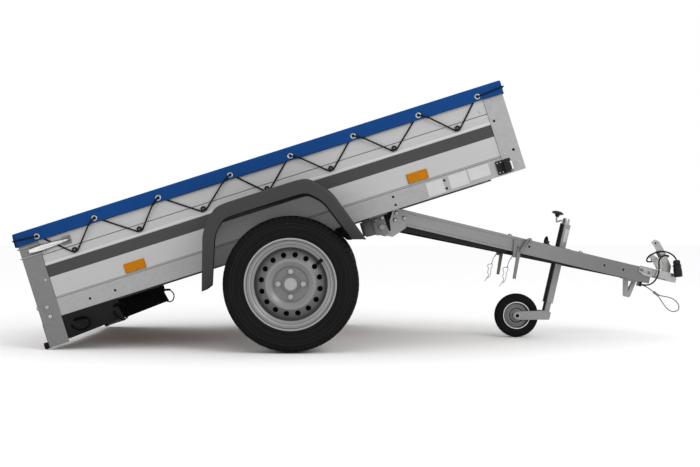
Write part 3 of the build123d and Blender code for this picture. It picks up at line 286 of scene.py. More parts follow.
def ringed(radius, rings, colour, base):
    """Base colour with thin rings of another colour at some radii."""
    mask = close_to(radius, *rings[0])
    for ring in rings[1:]:
        mask = mask + close_to(radius, *ring)
    return mask.mixed(base, colour)


def wall_sheet(point):
    colour, streak = rolled(point, 0.35, 0.44)
    length, height = axis_of(point, BED, 0), axis_of(point, BED, 2)
    side = point.along((0, 1, 0)).maths("ABSOLUTE") > HALF - 0.002
    inside = (length > REAR_EDGE) * (length < FRONT_EDGE)
    band = (height > STRIPE[0]) * (height < STRIPE[1]) * side * inside
    ridge = (height > RIDGE_HIGHLIGHT[0]) * (height < RIDGE_HIGHLIGHT[1]) * side
    # painted shade in the gaps beside the posts and along the folds and the groove
    seam_shade = close_to(length, REAR_EDGE, SEAM_SHADE_HALF) + close_to(length, FRONT_EDGE, SEAM_SHADE_HALF)
    for level in SEAM_SHADE_LEVELS:
        seam_shade = seam_shade + close_to(height, level, SEAM_SHADE_HALF)
    # painted highlight along the pressed ridge
    lit = (ridge * 0.7).mixed(colour, grey(0.52))
    seam_shaded = (seam_shade * side * 0.85).maths("MINIMUM", 0.85).mixed(lit, grey(0.07))
    return {
        "Base Color": band.mixed(seam_shaded, grey(0.024)),
        "Roughness": streak.spread(0.46, 0.6),
        "Metallic": band.spread(0.15, 0.0),
    }


def pressed_rim(point):
    """Silver paint with painted shade: darker in the dish of the disc and in thin rings at its grooves, lighter on
    the raised ring and lightest on the flange.
    """
    radius = radius_from(point, axle)
    # painted shade darkens the dish inside this radius, less on the raised ring
    outside_dish = ((radius - 0.140) * 40).maths("ADD", 0.0, clamped=True)
    paint = point.speckle(500.0).mixed(grey(0.25), grey(0.305))
    dish_shade = close_to(radius, 0.090, 0.014).mixed(grey(0.145), grey(0.205))
    # painted shade in the grooves
    groove_shade = mm((175.5, 1.4), (158.5, 1.2), (69, 1.3), (38.5, 1.1))
    return {"Base Color": ringed(radius, groove_shade, grey(0.06), outside_dish.mixed(dish_shade, paint))}


def small_rim(point):
    """Grey plastic with painted shade in dark rings at its grooves and hub, and a painted highlight on its outer
    ring.
    """
    radius = radius_from(point, JOINTS["jockey_wheel_spin"]["pos_m"])
    # painted highlight on the outer ring, then painted shade in the grooves and the hub
    base = ringed(radius, ((0.0605, 0.0022),), grey(0.60), point.speckle(800.0).mixed(grey(0.15), grey(0.19)))
    return {"Base Color": ringed(radius, mm((54.5, 2.5), (31.2, 2.5), (13.5, 1.5)), grey(0.02), base)}


ARM_LOW, ARM_HIGH, ARM_WIDTH = 0.027, 0.093, 0.040
ARM_OUT, ARM_LEAN = 0.470, 0.33625   # the outer face's place at the pivot, and its lean inwards
tube_low, tube_high = extent("jockey_tube", DRAWBAR)
TUBE_X = (tube_low.x + tube_high.x) / 2


def arm_face(along, inward=0.0):
    """Distance of an arm's outer face from the middle, for numbers and for wires."""
    return ARM_OUT - ARM_LEAN * along - inward


def arm_steel(point):
    """Galvanised channel, darker towards the nose, with two rows of press marks and painted shade in its hollow.
    """
    look = spangle(point, 0.245, 0.295)
    along, height = axis_of(point, DRAWBAR, 0), axis_of(point, DRAWBAR, 2)
    look["Base Color"] = along.mixed(look["Base Color"], grey(0.15))
    inward = arm_face(along, point.along((0, 1, 0)).maths("ABSOLUTE"))
    rows = close_to(height, ARM_HIGH - 0.012, 0.0019) + close_to(height, ARM_LOW + 0.010, 0.0019)
    marks = rows * ((along * (1 / 0.0125)).maths("FRACT") < 0.45) * (along < 0.62) * (inward < 0.001)
    # painted shade inside the channel's hollow
    hollow_shade = close_to(inward, ARM_WIDTH / 2, ARM_WIDTH / 2 - 0.002) * close_to(height, 0.060, 0.0305)
    look["Base Color"] = (marks * 0.6 + hollow_shade * 0.8).mixed(look["Base Color"], grey(0.02))
    return look


def tube_steel(point):
    """Drawn tube with a painted dark reflection down its rear and a blank label near its top."""
    look = spangle(point, *STEELS["steel"])
    across_tube, height = axis_of(point, DRAWBAR, 0) - TUBE_X, axis_of(point, DRAWBAR, 2)
    # painted dark reflection down the tube's rear side
    painted_dark_reflection = across_tube < -0.0085
    label = close_to(across_tube, 0.0105, 0.0095) * close_to(height, 0.156, 0.030)
    look["Base Color"] = painted_dark_reflection.mixed(label.mixed(look["Base Color"], grey(0.44)), grey(0.012))
    return look


finish_named("sheet", lambda p: {"Base Color": rolled(p, 0.35, 0.44)[0]}, Metallic=0.15, Roughness=0.5)
finish_named("wall_sheet", wall_sheet)
# lit and shaded copies of one galvanised steel: the darker ones carry painted shade, the lighter ones painted
# light
STEELS = {
    # darkest and lightest zinc crystal
    "bright_steel": (0.285, 0.335),
    "steel": (0.235, 0.280),
    "dull_steel": (0.145, 0.175),
    "dark_steel": (0.075, 0.098),
}
for name, (dark, light) in STEELS.items():
    finish_named(name, lambda p: spangle(p, dark, light), Metallic=0.35)
finish_named("arm_steel", arm_steel, Metallic=0.35)
finish_named("tube_steel", tube_steel, Metallic=0.35)
finish_named("rim", pressed_rim, Metallic=0.4, Roughness=0.36)
ZINCS = {
    # darkest and lightest cloud, metal, roughness
    "zinc": (grey(0.28), grey(0.44, 0.02), 0.75, 0.3),
    "bright_zinc": (grey(0.60), grey(0.76), 0.5, 0.3),
    "dull_zinc": (grey(0.12), grey(0.20), 0.7, 0.36),
}
for name, (dark, light, metal, rough) in ZINCS.items():
    finish_named(name, lambda p: {"Base Color": p.speckle(40.0, 3.0).mixed(dark, light)}, Metallic=metal,
                 Roughness=rough)
print("metals", list(FINISHES))

# %% [markdown]
# Rubber and moulded plastic are nearly the same black, and differ in how they catch light: tyres
# are dull and dusty, mudguards are grained, lamp housings are smooth. A fine bump carries the grain.


# %% Rubber, plastic and wood finishes
def grained(point, dark, light, scale, depth):
    grain = point.speckle(scale, 2.0)
    return {"Base Color": point.speckle(9.0, 3.0).mixed(grey(dark), grey(light)),
            "Normal": bump(point, grain, depth)}


def tyre_rubber(point):
    """Black rubber with the fine moulded rings of a sidewall."""
    look = grained(point, 0.0030, 0.0065, 900.0, 0.0002)
    rings = mm((203.5, 0.8), (226.5, 0.8), (240, 0.9), (252, 0.7))
    look["Base Color"] = ringed(radius_from(point, axle), rings, grey(0.014), look["Base Color"])
    return look


def wood(point):
    fibre = point.stretched(BED, (3, 60, 20)).speckle(2.0, 5.0, 0.6)
    return {"Base Color": fibre.mixed((0.10, 0.05, 0.025, 1), (0.27, 0.15, 0.075, 1))}


SHEEN = "Specular IOR Level"
finish_named("tyre", tyre_rubber, Roughness=0.72, **{SHEEN: 0.10})
GRAINED = {
    # darkest and lightest black, scale and depth of the grain, roughness, sheen
    "rubber": (0.0030, 0.0055, 700.0, 0.0002, 0.6, 0.10),
    "lead": (0.0008, 0.0020, 700.0, 0.0002, 0.7, 0.03),
    "plastic": (0.005, 0.009, 1200.0, 0.0001, 0.38, 0.2),
    "fender": (0.026, 0.034, 650.0, 0.0003, 0.5, 0.25),
    "guard": (0.0045, 0.007, 500.0, 0.0002, 0.6, 0.14),
}
for name, (*grain, rough, sheen) in GRAINED.items():
    finish_named(name, lambda p: grained(p, *grain), Roughness=rough, **{SHEEN: sheen})
finish_named("wheel_plastic", small_rim, Roughness=0.42)
finish_named("plywood", wood, Roughness=0.55)
finish_named("label", lambda p: {"Base Color": p.speckle(30.0).mixed(grey(0.42), grey(0.48))}, Roughness=0.45)
print("plastics", len(FINISHES))

# %% [markdown]
# Coated tarpaulin cloth is a tight weave under a thin vinyl skin: two crossed waves make the weave,
# and broad noise the handling marks. The elastic cord's sleeve is braided, which two slanted waves
# give. Reflectors are moulded in small prisms, and their lenses have a clear coat.


# %% Cloth, cord and lens finishes
def woven(point):
    across = point.stretched(BED, (1, 1, 1))
    one = across.node("ShaderNodeTexWave", {"Vector": across, "Scale": 240.0}, 1, bands_direction="X")
    two = across.node("ShaderNodeTexWave", {"Vector": across, "Scale": 240.0}, 1, bands_direction="DIAGONAL")
    marks = point.speckle(4.0, 4.0, 0.6)
    return {
        "Base Color": marks.mixed((0.002, 0.034, 0.150, 1), (0.004, 0.052, 0.205, 1)),
        "Roughness": marks.spread(0.42, 0.58),
        "Normal": bump(point, (one + two) * 0.5 + marks * 1.5, 0.0006, 0.6),
    }


def braided(point):
    strands = point.node("ShaderNodeTexWave", {"Vector": point, "Scale": 260.0}, 1,
                         bands_direction="DIAGONAL")
    return {"Base Color": strands.mixed(grey(0.004), grey(0.010)), "Normal": bump(point, strands, 0.0005)}


def prisms(point, deep, bright):
    facets = point.node("ShaderNodeTexVoronoi", {"Vector": point, "Scale": 260.0}, "Distance")
    return {"Base Color": facets.mixed(bright, deep), "Normal": bump(point, facets, 0.0008)}


finish_named("tarp", woven, **{SHEEN: 0.07})
finish_named("cord", braided, Roughness=0.7, **{SHEEN: 0.12})
finish_named("amber", lambda p: prisms(p, (0.33, 0.105, 0.0, 1), (0.50, 0.18, 0.0, 1)), Roughness=0.45,
             **{SHEEN: 0.08})
finish_named("lamp_red", lambda p: prisms(p, (0.20, 0.004, 0.004, 1), (0.45, 0.012, 0.010, 1)),
             Roughness=0.25, **{"Coat Weight": 0.8})
finish_named("lamp_clear", lambda p: prisms(p, grey(0.62), grey(0.80)), Roughness=0.2, **{"Coat Weight": 0.8})
print("all finishes", len(FINISHES))

# %% [markdown]
# The CAD record gives every node a material slot, and the slot's name finds the finish. Nodes that
# have a look of their own, such as the striped walls, are named in a short table.

# %% Dress the CAD nodes
# painted light and shade by place: dark_steel under the bed and dull_steel on the rear posts are painted shade,
# bright_steel on the front posts is painted light
OWN_LOOK = {
    "wall_sheet": ("side_panel_left", "side_panel_right"),
    "dull_steel": ("rear_posts", "lock_straps", "drawbar_tie"),
    "bright_steel": ("front_posts", "sill_left", "sill_right", "hub_left", "hub_right"),
    "tube_steel": ("jockey_tube", "jockey_leg"),
    "plastic": ("jockey_clamp", "front_marker_lamps"),
    "steel": ("gusset_plates",),
    "dark_steel": ("hinge_brackets", "axle_tube", "axle_arms", "cross_members"),
}
look_of = {node: look for look, nodes in OWN_LOOK.items() for node in nodes}
for part in frame["record"]["subparts"]:
    node = frame["nodes"][part["node"]]
    look = look_of.get(part["node"], part["material_slot"])
    node.data.materials.clear()
    node.data.materials.append(FINISHES[look])
print("dressed", len(frame["nodes"]), "nodes")

# %% [markdown]
# Most fittings are turned, cut from plate or bent from wire, so three helpers make them. Each takes
# the shape in a sub-frame and bakes the frame's place into the mesh, so the object stays at the
# origin like the CAD nodes.


# %% Helpers that make meshes
def shape(name, points, faces, look, place=Matrix(), smooth=35):
    """A closed or open mesh in a sub-frame, with its normals outward and its edges kept sharp."""
    mesh = bpy.data.meshes.new(name)
    mesh.from_pydata([place @ Vector(point) for point in points], [], faces)
    work = bmesh.new()
    work.from_mesh(mesh)
    bmesh.ops.remove_doubles(work, verts=work.verts, dist=1e-6)
    bmesh.ops.recalc_face_normals(work, faces=work.faces)
    work.to_mesh(mesh)
    work.free()
    mesh.shade_smooth()
    mesh.set_sharp_from_angle(angle=math.radians(smooth))
    mesh.materials.append(FINISHES[look])
    return added(name, mesh)


def turned(name, profile, look, place=Matrix(), steps=48, open_ends=False):
    """A profile of (radius, height) points turned round the sub-frame's z axis."""
    points, faces, count = [], [], len(profile)
    for i in range(steps):
        turn = 2 * math.pi * i / steps
        points += [(r * math.cos(turn), r * math.sin(turn), z) for r, z in profile]
    for i in range(steps):
        for j in range(count - 1 if open_ends else count):
            a, b = i * count, (i + 1) % steps * count
            k = (j + 1) % count
            faces.append((a + j, b + j, b + k, a + k))
    return shape(name, points, faces, look, place)


def prism_faces(count):
    """Faces of a prism whose two outlines are listed one after the other."""
    ends = [tuple(range(count))[::-1], tuple(range(count, 2 * count))]
    return ends + [(i, (i + 1) % count, count + (i + 1) % count, count + i) for i in range(count)]


def grid_faces(rows, wide):
    """Faces of a grid of points that are listed row by row."""
    return [(i * wide + j, (i + 1) * wide + j, (i + 1) * wide + j + 1, i * wide + j + 1)
            for i in range(rows - 1) for j in range(wide - 1)]


def plate(name, outline, thick, look, place=Matrix(), bevel=0.0):
    """A flat outline in x and y, thick along z, with its rims bevelled."""
    points = [(x, y, 0) for x, y in outline] + [(x, y, thick) for x, y in outline]
    made = shape(name, points, prism_faces(len(outline)), look, place)
    if bevel:
        soften(made, bevel)
    return made


def soften(made, width, segments=2, angle=30):
    """Bevels the sharp edges of a finished mesh."""
    work = bmesh.new()
    work.from_mesh(made.data)
    work.normal_update()
    sharp = [e for e in work.edges if len(e.link_faces) == 2 and e.calc_face_angle() > math.radians(angle)]
    bmesh.ops.bevel(work, geom=sharp, offset=width, segments=segments, affect="EDGES", profile=0.6)
    work.to_mesh(made.data)
    work.free()
    made.data.shade_smooth()
    made.data.set_sharp_from_angle(angle=math.radians(35))
    return made


def wire(name, points, radius, look, place=Matrix(), as_mesh=True):
    """A round wire whose smooth line follows its control points."""
    curve = bpy.data.curves.new(name, "CURVE")
    curve.dimensions = "3D"
    curve.bevel_depth = radius
    curve.bevel_resolution = 4
    curve.use_fill_caps = True
    spline = curve.splines.new("NURBS")
    spline.points.add(len(points) - 1)
    for spot, point in zip(spline.points, points):
        spot.co = (*(place @ Vector(point)), 1)
    spline.order_u = 3
    spline.use_endpoint_u = True
    spline.resolution_u = 8
    curve.materials.append(FINISHES[look])
    made = added(name, curve)
    return plain_mesh(made) if as_mesh else made


def plain_mesh(made):
    """The evaluated object as a plain mesh object of the same name, with no modifier left."""
    depsgraph = bpy.context.evaluated_depsgraph_get()
    mesh = bpy.data.meshes.new_from_object(made.evaluated_get(depsgraph))
    name = made.name
    bpy.data.objects.remove(made)
    mesh.name = name
    return added(name, mesh)


def thickened(skin, thickness, offset):
    """A thin skin given a wall, as a plain mesh."""
    walls = skin.modifiers.new("thickness", "SOLIDIFY")
    walls.thickness, walls.offset = thickness, offset
    return plain_mesh(skin)


def joined(name, pieces):
    """Several mesh objects made into one."""
    with bpy.context.temp_override(active_object=pieces[0], selected_editable_objects=pieces):
        bpy.ops.object.join()
    pieces[0].name = name
    return pieces[0]


def fit(made, body, stands_for=()):
    """Hangs a finished piece on its CAD body and reports it."""
    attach(made, body)
    if stands_for:
        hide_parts(*stands_for)
    print(made.name, "on", body)
    return made


def across(side, place=Matrix()):
    """Frame on one side of a sub-frame: x along it, z outward, y up on the right side."""
    return place @ Matrix(((1, 0, 0, 0), (0, 0, side, 0), (0, -side, 0, 0), (0, 0, 0, 1)))


def flank(side, outline):
    """An outline of (along, height) pairs, turned the way across() needs it on that side."""
    return [(x, -side * z) for x, z in outline]


def bed_side(side, along=0.0, out=HALF, height=0.0):
    """Frame on one flank of the bed, some distance out from its middle."""
    return across(side, BED @ shift(along, side * out, height))


def turned_to(spot, way):
    """Frame at a spot with its z axis along a way."""
    return Matrix.Translation(spot) @ way.to_track_quat("Z", "Y").to_matrix().to_4x4()


def rounded_box(low, high, radius, steps=5):
    """Outline of a rectangle with round corners."""
    outline = []
    corners = ((high[0], high[1]), (low[0], high[1]), (low[0], low[1]), (high[0], low[1]))
    for k, (x, y) in enumerate(corners):
        middle = (x - math.copysign(radius, x - (low[0] + high[0]) / 2),
                  y - math.copysign(radius, y - (low[1] + high[1]) / 2))
        for i in range(steps + 1):
            turn = math.pi / 2 * (k + i / steps)
            outline.append((middle[0] + radius * math.cos(turn), middle[1] + radius * math.sin(turn)))
    return outline


# %% [markdown]
# Two free cables leave a clip under the drawbar's nose. The power cable rises in a loose loop to its
# plug, and the steel safety cable makes a loop with a ferrule below the coupling. Each is a NURBS
# curve through given control points, which bends the way a real cable does.

# %% Free cables at the coupling
CLIP = -25
POWER_ROUTE = mm(
    # along the drawbar, left, up from the nose
    (CLIP, 8, 16), (-5, -6, 16), (11, -34, 24), (22, -56, 44), (29, -64, 76), (26, -62, 108), (19, -54, 136),
    (29, -42, 160), (55, -26, 172), (77, 0, 172), (67, 28, 162), (39, 40, 146), (7, 32, 128), (-17, 10, 124),
    (-26, -14, 138), (-15, -30, 160), (11, -36, 178), (41, -40, 187), (69, -48, 182), (88, -57, 170),
    (94, -60, 160),
)
SAFETY_ROUTE = mm(
    # along the drawbar, left, up from the nose
    (CLIP, -16, 14), (-5, -21, 12), (15, -28, 4), (32, -34, -5), (59, -38, -15), (86, -40, -14),
    (112, -41, -13), (138, -42, -21), (157, -43, -38), (161, -43, -57), (148, -42, -71), (125, -41, -74),
    (102, -40, -62), (81, -38, -42), (61, -37, -23),
)
POWER_R, SAFETY_R = 0.0035, 0.0025
PLUG_WAY = Vector((0.345, 0, -0.938)).normalized()


def length_of(made):
    """Length of a curve object's line, measured without its thickness."""
    thick, made.data.bevel_depth = made.data.bevel_depth, 0
    depsgraph = bpy.context.evaluated_depsgraph_get()
    line = bpy.data.meshes.new_from_object(made.evaluated_get(depsgraph))
    made.data.bevel_depth = thick
    total = sum((line.vertices[e.vertices[0]].co - line.vertices[e.vertices[1]].co).length
                for e in line.edges)
    bpy.data.meshes.remove(line)
    return total


power = fit(wire("power_lead", POWER_ROUTE, POWER_R, "rubber", NOSE, as_mesh=False), "drawbar",
            ["power_cable"])
safety = fit(wire("safety_lead", SAFETY_ROUTE, SAFETY_R, "dull_zinc", NOSE, as_mesh=False), "drawbar",
             ["safety_cable"])
plug_place = NOSE @ turned_to(POWER_ROUTE[-1], PLUG_WAY)
PLUG_PROFILE = mm((0.1, 1), (11, 1), (14.5, 4), (16, 10), (16, 20), (15, 22), (19.5, 24), (19.5, 30),
                  (17.5, 32), (17.5, 36), (18.6, 40), (19, 74), (18, 78), (16, 78), (16, 62), (0.1, 62))
plug_body = turned("plug_body", PLUG_PROFILE, "plastic", plug_place)
ribs = [plate(f"plug_rib_{i}", rounded_box((-0.0012, -0.0015), (0.0012, 0.0015), 0.0006), 0.022, "plastic",
              plug_place @ Matrix.Rotation(i * math.pi / 6, 4, "Z") @ shift(0.0183, 0, 0.046))
        for i in range(12)]
pins = [turned(f"plug_pin_{i}", mm((0.1, 0), (1.6, 0), (1.6, 12), (0.1, 13)), "zinc",
               plug_place @ Matrix.Rotation(i * math.pi / 3, 4, "Z") @ shift(0.0095, 0, 0.062), 12)
        for i in range(6)]
plug = fit(joined("plug", [plug_body, *ribs, *pins]), "drawbar", ["power_plug"])
FERRULE = (Vector((0.032, -0.034, -0.005)), Vector((0.061, -0.037, -0.018)))
ferrule_way = FERRULE[1] - FERRULE[0]
ferrule_place = NOSE @ turned_to(FERRULE[0], ferrule_way)
far = ferrule_way.length
ferrule = fit(turned("ferrule", ((0.0001, 0), (0.0045, 0), (0.0062, 0.002), (0.0065, 0.006),
                                 (0.0050, far / 2), (0.0065, far - 0.006), (0.0062, far - 0.002),
                                 (0.0045, far), (0.0001, far)), "dull_zinc", ferrule_place, 24), "drawbar",
              ["cable_ferrule"])
length_of(power)
length_of(safety)
print("power lead", round(length_of(power), 3), "safety cable", round(length_of(safety), 3))

# %% [markdown]
# Bolts, rivets, hooks and eyelets repeat dozens of times. Each is made once, and a Geometry Nodes
# tree puts a copy on every point of a list, turned the way the point faces. The tree ends in
# Realize Instances and Set Material, because an export keeps real meshes only.


# %% A node tree that repeats a fitting
def empty_tree(name, output, **inputs):
    """A node tree with named inputs and one geometry output, and its two end nodes."""
    tree = bpy.data.node_groups.new(name, "GeometryNodeTree")
    for label, kind in inputs.items():
        tree.interface.new_socket(label, in_out="INPUT", socket_type=f"NodeSocket{kind}")
    tree.interface.new_socket(output, in_out="OUTPUT", socket_type="NodeSocketGeometry")
    return tree, tree.nodes.new("NodeGroupInput"), tree.nodes.new("NodeGroupOutput")


def linked(tree, *links):
    """Links outputs to inputs, each given as (node, output, node, input)."""
    for source, outlet, target, inlet in links:
        tree.links.new(source.outputs[outlet], target.inputs[inlet])


def repeat_tree():
    """A tree that puts a fitting on every point, turned the way the point faces."""
    tree, start, end = empty_tree("repeat_fitting", "Fittings", Points="Geometry", Fitting="Object",
                                  Finish="Material")
    new = tree.nodes.new
    fitting, turn = new("GeometryNodeObjectInfo"), new("FunctionNodeAlignRotationToVector")
    facing, place = new("GeometryNodeInputNamedAttribute"), new("GeometryNodeInstanceOnPoints")
    real, dress = new("GeometryNodeRealizeInstances"), new("GeometryNodeSetMaterial")
    facing.data_type = "FLOAT_VECTOR"
    facing.inputs["Name"].default_value = "facing"
    turn.axis = "Z"
    linked(tree, (start, "Fitting", fitting, "Object"), (facing, 0, turn, "Vector"),
           (start, "Points", place, "Points"), (fitting, "Geometry", place, "Instance"),
           (turn, 0, place, "Rotation"), (place, "Instances", real, "Geometry"),
           (real, "Geometry", dress, "Geometry"), (start, "Finish", dress, "Material"),
           (dress, "Geometry", end, 0))
    return tree


REPEAT = repeat_tree()


def modified(made, tree, **values):
    """Adds a node modifier, sets its inputs by their sockets' identifiers, and bakes it."""
    modifier = made.modifiers.new(tree.name, "NODES")
    modifier.node_group = tree
    sockets = {item.name: item.identifier for item in tree.interface.items_tree if item.in_out == "INPUT"}
    for name, value in values.items():
        modifier[sockets[name]] = value
    return plain_mesh(made)


def scattered(name, fitting, look, spots, body, stands_for=()):
    """One fitting repeated at (point, facing) spots of the shared frame, as one mesh."""
    mesh = bpy.data.meshes.new(name)
    mesh.from_pydata([point for point, _ in spots], [], [])
    facing = mesh.attributes.new("facing", "FLOAT_VECTOR", "POINT")
    for item, (_, way) in zip(facing.data, spots):
        item.vector = way
    made = modified(added(name, mesh), REPEAT, Fitting=fitting, Finish=FINISHES[look])
    fit(made, body, stands_for)


def bed_spots(places, out):
    """Spots on both flanks of the bed, from (along, height) places and a distance from the middle."""
    return [(BED @ Vector((x, side * out, z)), BED.to_3x3() @ Vector((0, side, 0)))
            for side, _ in SIDES for x, z in places]


print("repeat tree has", len(REPEAT.nodes), "nodes")

# %% [markdown]
# The walls, sills and posts are held by domed bolts and rivets, and dark rubber discs in the spare holes
# are painted shade inside them. Each is turned once. Their places are measured along the bed and up
# from the sill's edge, or along the drawbar.

# %% Bolts and rivets
POST_FACE = HALF + 0.003
bolt = turned("bolt_head", mm((0.1, -1), (9.5, -1), (9.5, 1.5), (8.5, 4), (6, 6), (3, 6.8), (0.1, 7)), "zinc",
              steps=20)
rivet = turned("rivet_head", mm((0.1, -0.5), (5.8, -0.5), (5.5, 1.2), (3.5, 2.6), (0.1, 3)), "zinc", steps=16)
POST_RIVETS = ((0.063, 0.158), (BED_LENGTH - 0.063, 0.082), (BED_LENGTH - 0.021, 0.036))
POST_BOLTS = ((0.036, 0.049), (0.037, 0.009))
scattered("post_rivets", rivet, "zinc", bed_spots(POST_RIVETS, POST_FACE), "chassis")
scattered("post_bolts", bolt, "zinc", bed_spots(POST_BOLTS, POST_FACE), "chassis")
scattered("wall_rivets", rivet, "zinc", bed_spots(((1.962, 0.276),), HALF), "chassis")
back_spots = [(BED @ Vector((-0.003, side * 0.570, 0.0547)), BED.to_3x3() @ Vector((-1, 0, 0)))
              for side, _ in SIDES]
scattered("post_back_bolts", bolt, "zinc", back_spots, "chassis")
# dark discs that stand for the painted shade inside the spare holes
grommet = turned("grommet", mm((0.1, -1), (5, -1), (5.2, 0.3), (4, 0.6), (0.1, 0.2)), "rubber", steps=20)
SILL_HOLES = ((0.213, 0.031), (0.321, 0.032), (BED_LENGTH - 0.55, 0.052), (BED_LENGTH - 0.55, 0.0175),
              (BED_LENGTH - 0.33, 0.053), (BED_LENGTH - 0.33, 0.019))
POST_HOLES = ((BED_LENGTH - 0.063, 0.223), (BED_LENGTH - 0.023, 0.088))
scattered("sill_grommets", grommet, "rubber", bed_spots(SILL_HOLES, HALF), "chassis")
scattered("post_grommets", grommet, "rubber", bed_spots(POST_HOLES, POST_FACE), "chassis")
ARM_ANGLE = math.atan(ARM_LEAN)
GUSSET = 0.004 / math.cos(ARM_ANGLE)


def arm_spots(places, out, sides=SIDES):
    """Spots on the arms' outer faces, from (along, height) places, lifted off the face."""
    spots = []
    for side, _ in sides:
        way = DRAWBAR.to_3x3() @ Vector((math.sin(ARM_ANGLE), side * math.cos(ARM_ANGLE), 0))
        spots += [(DRAWBAR @ Vector((x, side * arm_face(x, -out), z)), way) for x, z in places]
    return spots


def arm_top_spots(places):
    """Spots down the middle of the arms' upper sides."""
    return [(DRAWBAR @ Vector((x, side * arm_face(x, ARM_WIDTH / 2), ARM_HIGH)), DRAWBAR.to_3x3().col[2])
            for side, _ in SIDES for x in places]


scattered("gusset_bolts", bolt, "zinc", arm_spots(mm((46.6, 72.5), (48, 41.9), (83.5, 58.4)), GUSSET),
          "drawbar")
scattered("arm_top_bolts", bolt, "zinc", arm_top_spots((0.56, 0.90)), "drawbar")
scattered("arm_grommets", grommet, "rubber", arm_spots(mm((655, 63.6), (1021.5, 61.2), (1115.8, 61.6)), 0),
          "drawbar")
for spare in (bolt, rivet, grommet):
    bpy.data.objects.remove(spare)

# %% [markdown]
# The cover is held by an elastic cord that runs from eyelets in its skirt down to round hooks on the
# walls. An eyelet is a pressed ring, a hook is a turned plastic knob with a metal rivet in its middle.
# Both are turned once and repeated along both sides.

# %% Hooks and eyelets
EYELETS = [share * BED_LENGTH for share in (0.041, 0.16, 0.292, 0.441, 0.565, 0.695, 0.83, 0.952)]
HOOKS = [share * BED_LENGTH for share in (0.104, 0.238, 0.37, 0.502, 0.634, 0.765, 0.896)]
cover_low, cover_high = extent("tarpaulin", BED)
EYELET_Z = cover_high.z - 0.037
HOOK_Z = SILL_TOP + 0.168
COVER_OUT = cover_high.y
PINCH = 0.002

hook = turned("hook", mm((0.1, 0), (9, 0), (9.5, 1.5), (6, 3), (5.2, 6), (7.5, 8.5), (10.8, 9), (11.2, 10.8),
                         (10.2, 12.8), (8.5, 13.1), (6.8, 11.6), (0.1, 11.4)), "plastic", steps=28)
hook_rivet = turned("hook_rivet", mm((0.1, 11.2), (2.7, 11.2), (2.5, 12.2), (1.5, 12.8), (0.1, 13)),
                    "dull_zinc", steps=16)
eyelet = turned("eyelet", mm((6.4, -2.2), (8, -2.6), (11.8, -1.2), (12.1, 0.3), (10.8, 1.4), (8.2, 1.9),
                             (6.8, 1.2), (6.4, 0)), "zinc", steps=28)
hook_spots = bed_spots([(x, HOOK_Z) for x in HOOKS], HALF)
scattered("cover_hooks", hook, "plastic", hook_spots, "chassis", ["tarp_hooks"])
scattered("cover_hook_rivets", hook_rivet, "dull_zinc", hook_spots, "chassis")
scattered("cover_eyelets", eyelet, "zinc", bed_spots([(x, EYELET_Z) for x in EYELETS], COVER_OUT - PINCH),
          "chassis")
for spare in (hook, hook_rivet, eyelet):
    bpy.data.objects.remove(spare)

# %% [markdown]
# The cover is one sheet of coated cloth drawn tight over the walls, with a skirt on the sides and
# the front. Its mesh is a grid on top whose border is carried down as the skirt. The cloth sags a
# little between the walls, pinches in where a cord pulls an eyelet, and creases towards the edge.

# %% The cover
CLOTH, CLOTH_ROUND = 0.0011, 0.007
SAG = 0.012
SKIRT = cover_high.z - cover_low.z
EYELET_CUT = 0.007


def steps_between(low, high, step, keep=()):
    """Even steps from low to high that also stop at the kept places."""
    count = max(1, round((high - low) / step))
    even = [low + (high - low) * i / count for i in range(count + 1)]
    return sorted([x for x in even if all(abs(x - k) > step / 3 for k in keep)] + list(keep))


def near(distance, reach):
    """1 at no distance, falling smoothly to 0 past the reach."""
    return math.exp(-(distance / reach) ** 2)


def pull(x):
    """How strongly the nearest eyelet pulls at a place along the bed."""
    return max(near(x - eyelet_x, 0.022) for eyelet_x in EYELETS)


def ripple(x, y, size, seed):
    return noise.noise(Vector((x / size, y / size, seed)))


def cover_top(x, y):
    """Height of the cover's upper side."""
    edge = min(1.0, (cover_high.y - CLOTH_ROUND - abs(y)) / 0.10)
    ends = min(1.0, max(0.0, (x - cover_low.x) / 0.15)) * min(1.0, max(0.0, (cover_high.x - x) / 0.15))
    sag = SAG * (1 - (y / HALF) ** 2) * ends
    creases = 0.0025 * pull(x) * near(cover_high.y - abs(y), 0.09) * math.cos((x + abs(y)) * 120)
    return cover_high.z - sag - edge * ends * 0.003 * (ripple(x, y, 0.32, 1.0) + 0.5) - abs(creases) * edge


def skirt_spot(base, out, x, depth, seed):
    """A point of the skirt at some depth below the top, leaning in at eyelets and rippling between."""
    if depth < CLOTH_ROUND * 1.5:
        turn = depth / (CLOTH_ROUND * 1.5) * math.pi / 2
        away, down = CLOTH_ROUND * math.sin(turn), CLOTH_ROUND * (1 - math.cos(turn))
        lean = 0.0
    else:
        away, down = CLOTH_ROUND, depth
        lean = (depth - CLOTH_ROUND) / (SKIRT - CLOTH_ROUND)
    side_pull = pull(x) if abs(out[1]) > 0.5 else 0.0
    wave = 0.0012 * ripple(x * 1.4, base[1] * 1.4 + depth, 0.09, seed) * lean - 0.0008 * lean
    crease = 0.0011 * side_pull * math.cos((x - depth * 0.8) * 260) * lean
    away += wave + crease - PINCH * side_pull * lean
    drop = down - 0.0022 * side_pull * lean + 0.0008 * ripple(x, base[1], 0.15, seed) * lean
    return (base[0] + out[0] * away, base[1] + out[1] * away, base[2] - drop)


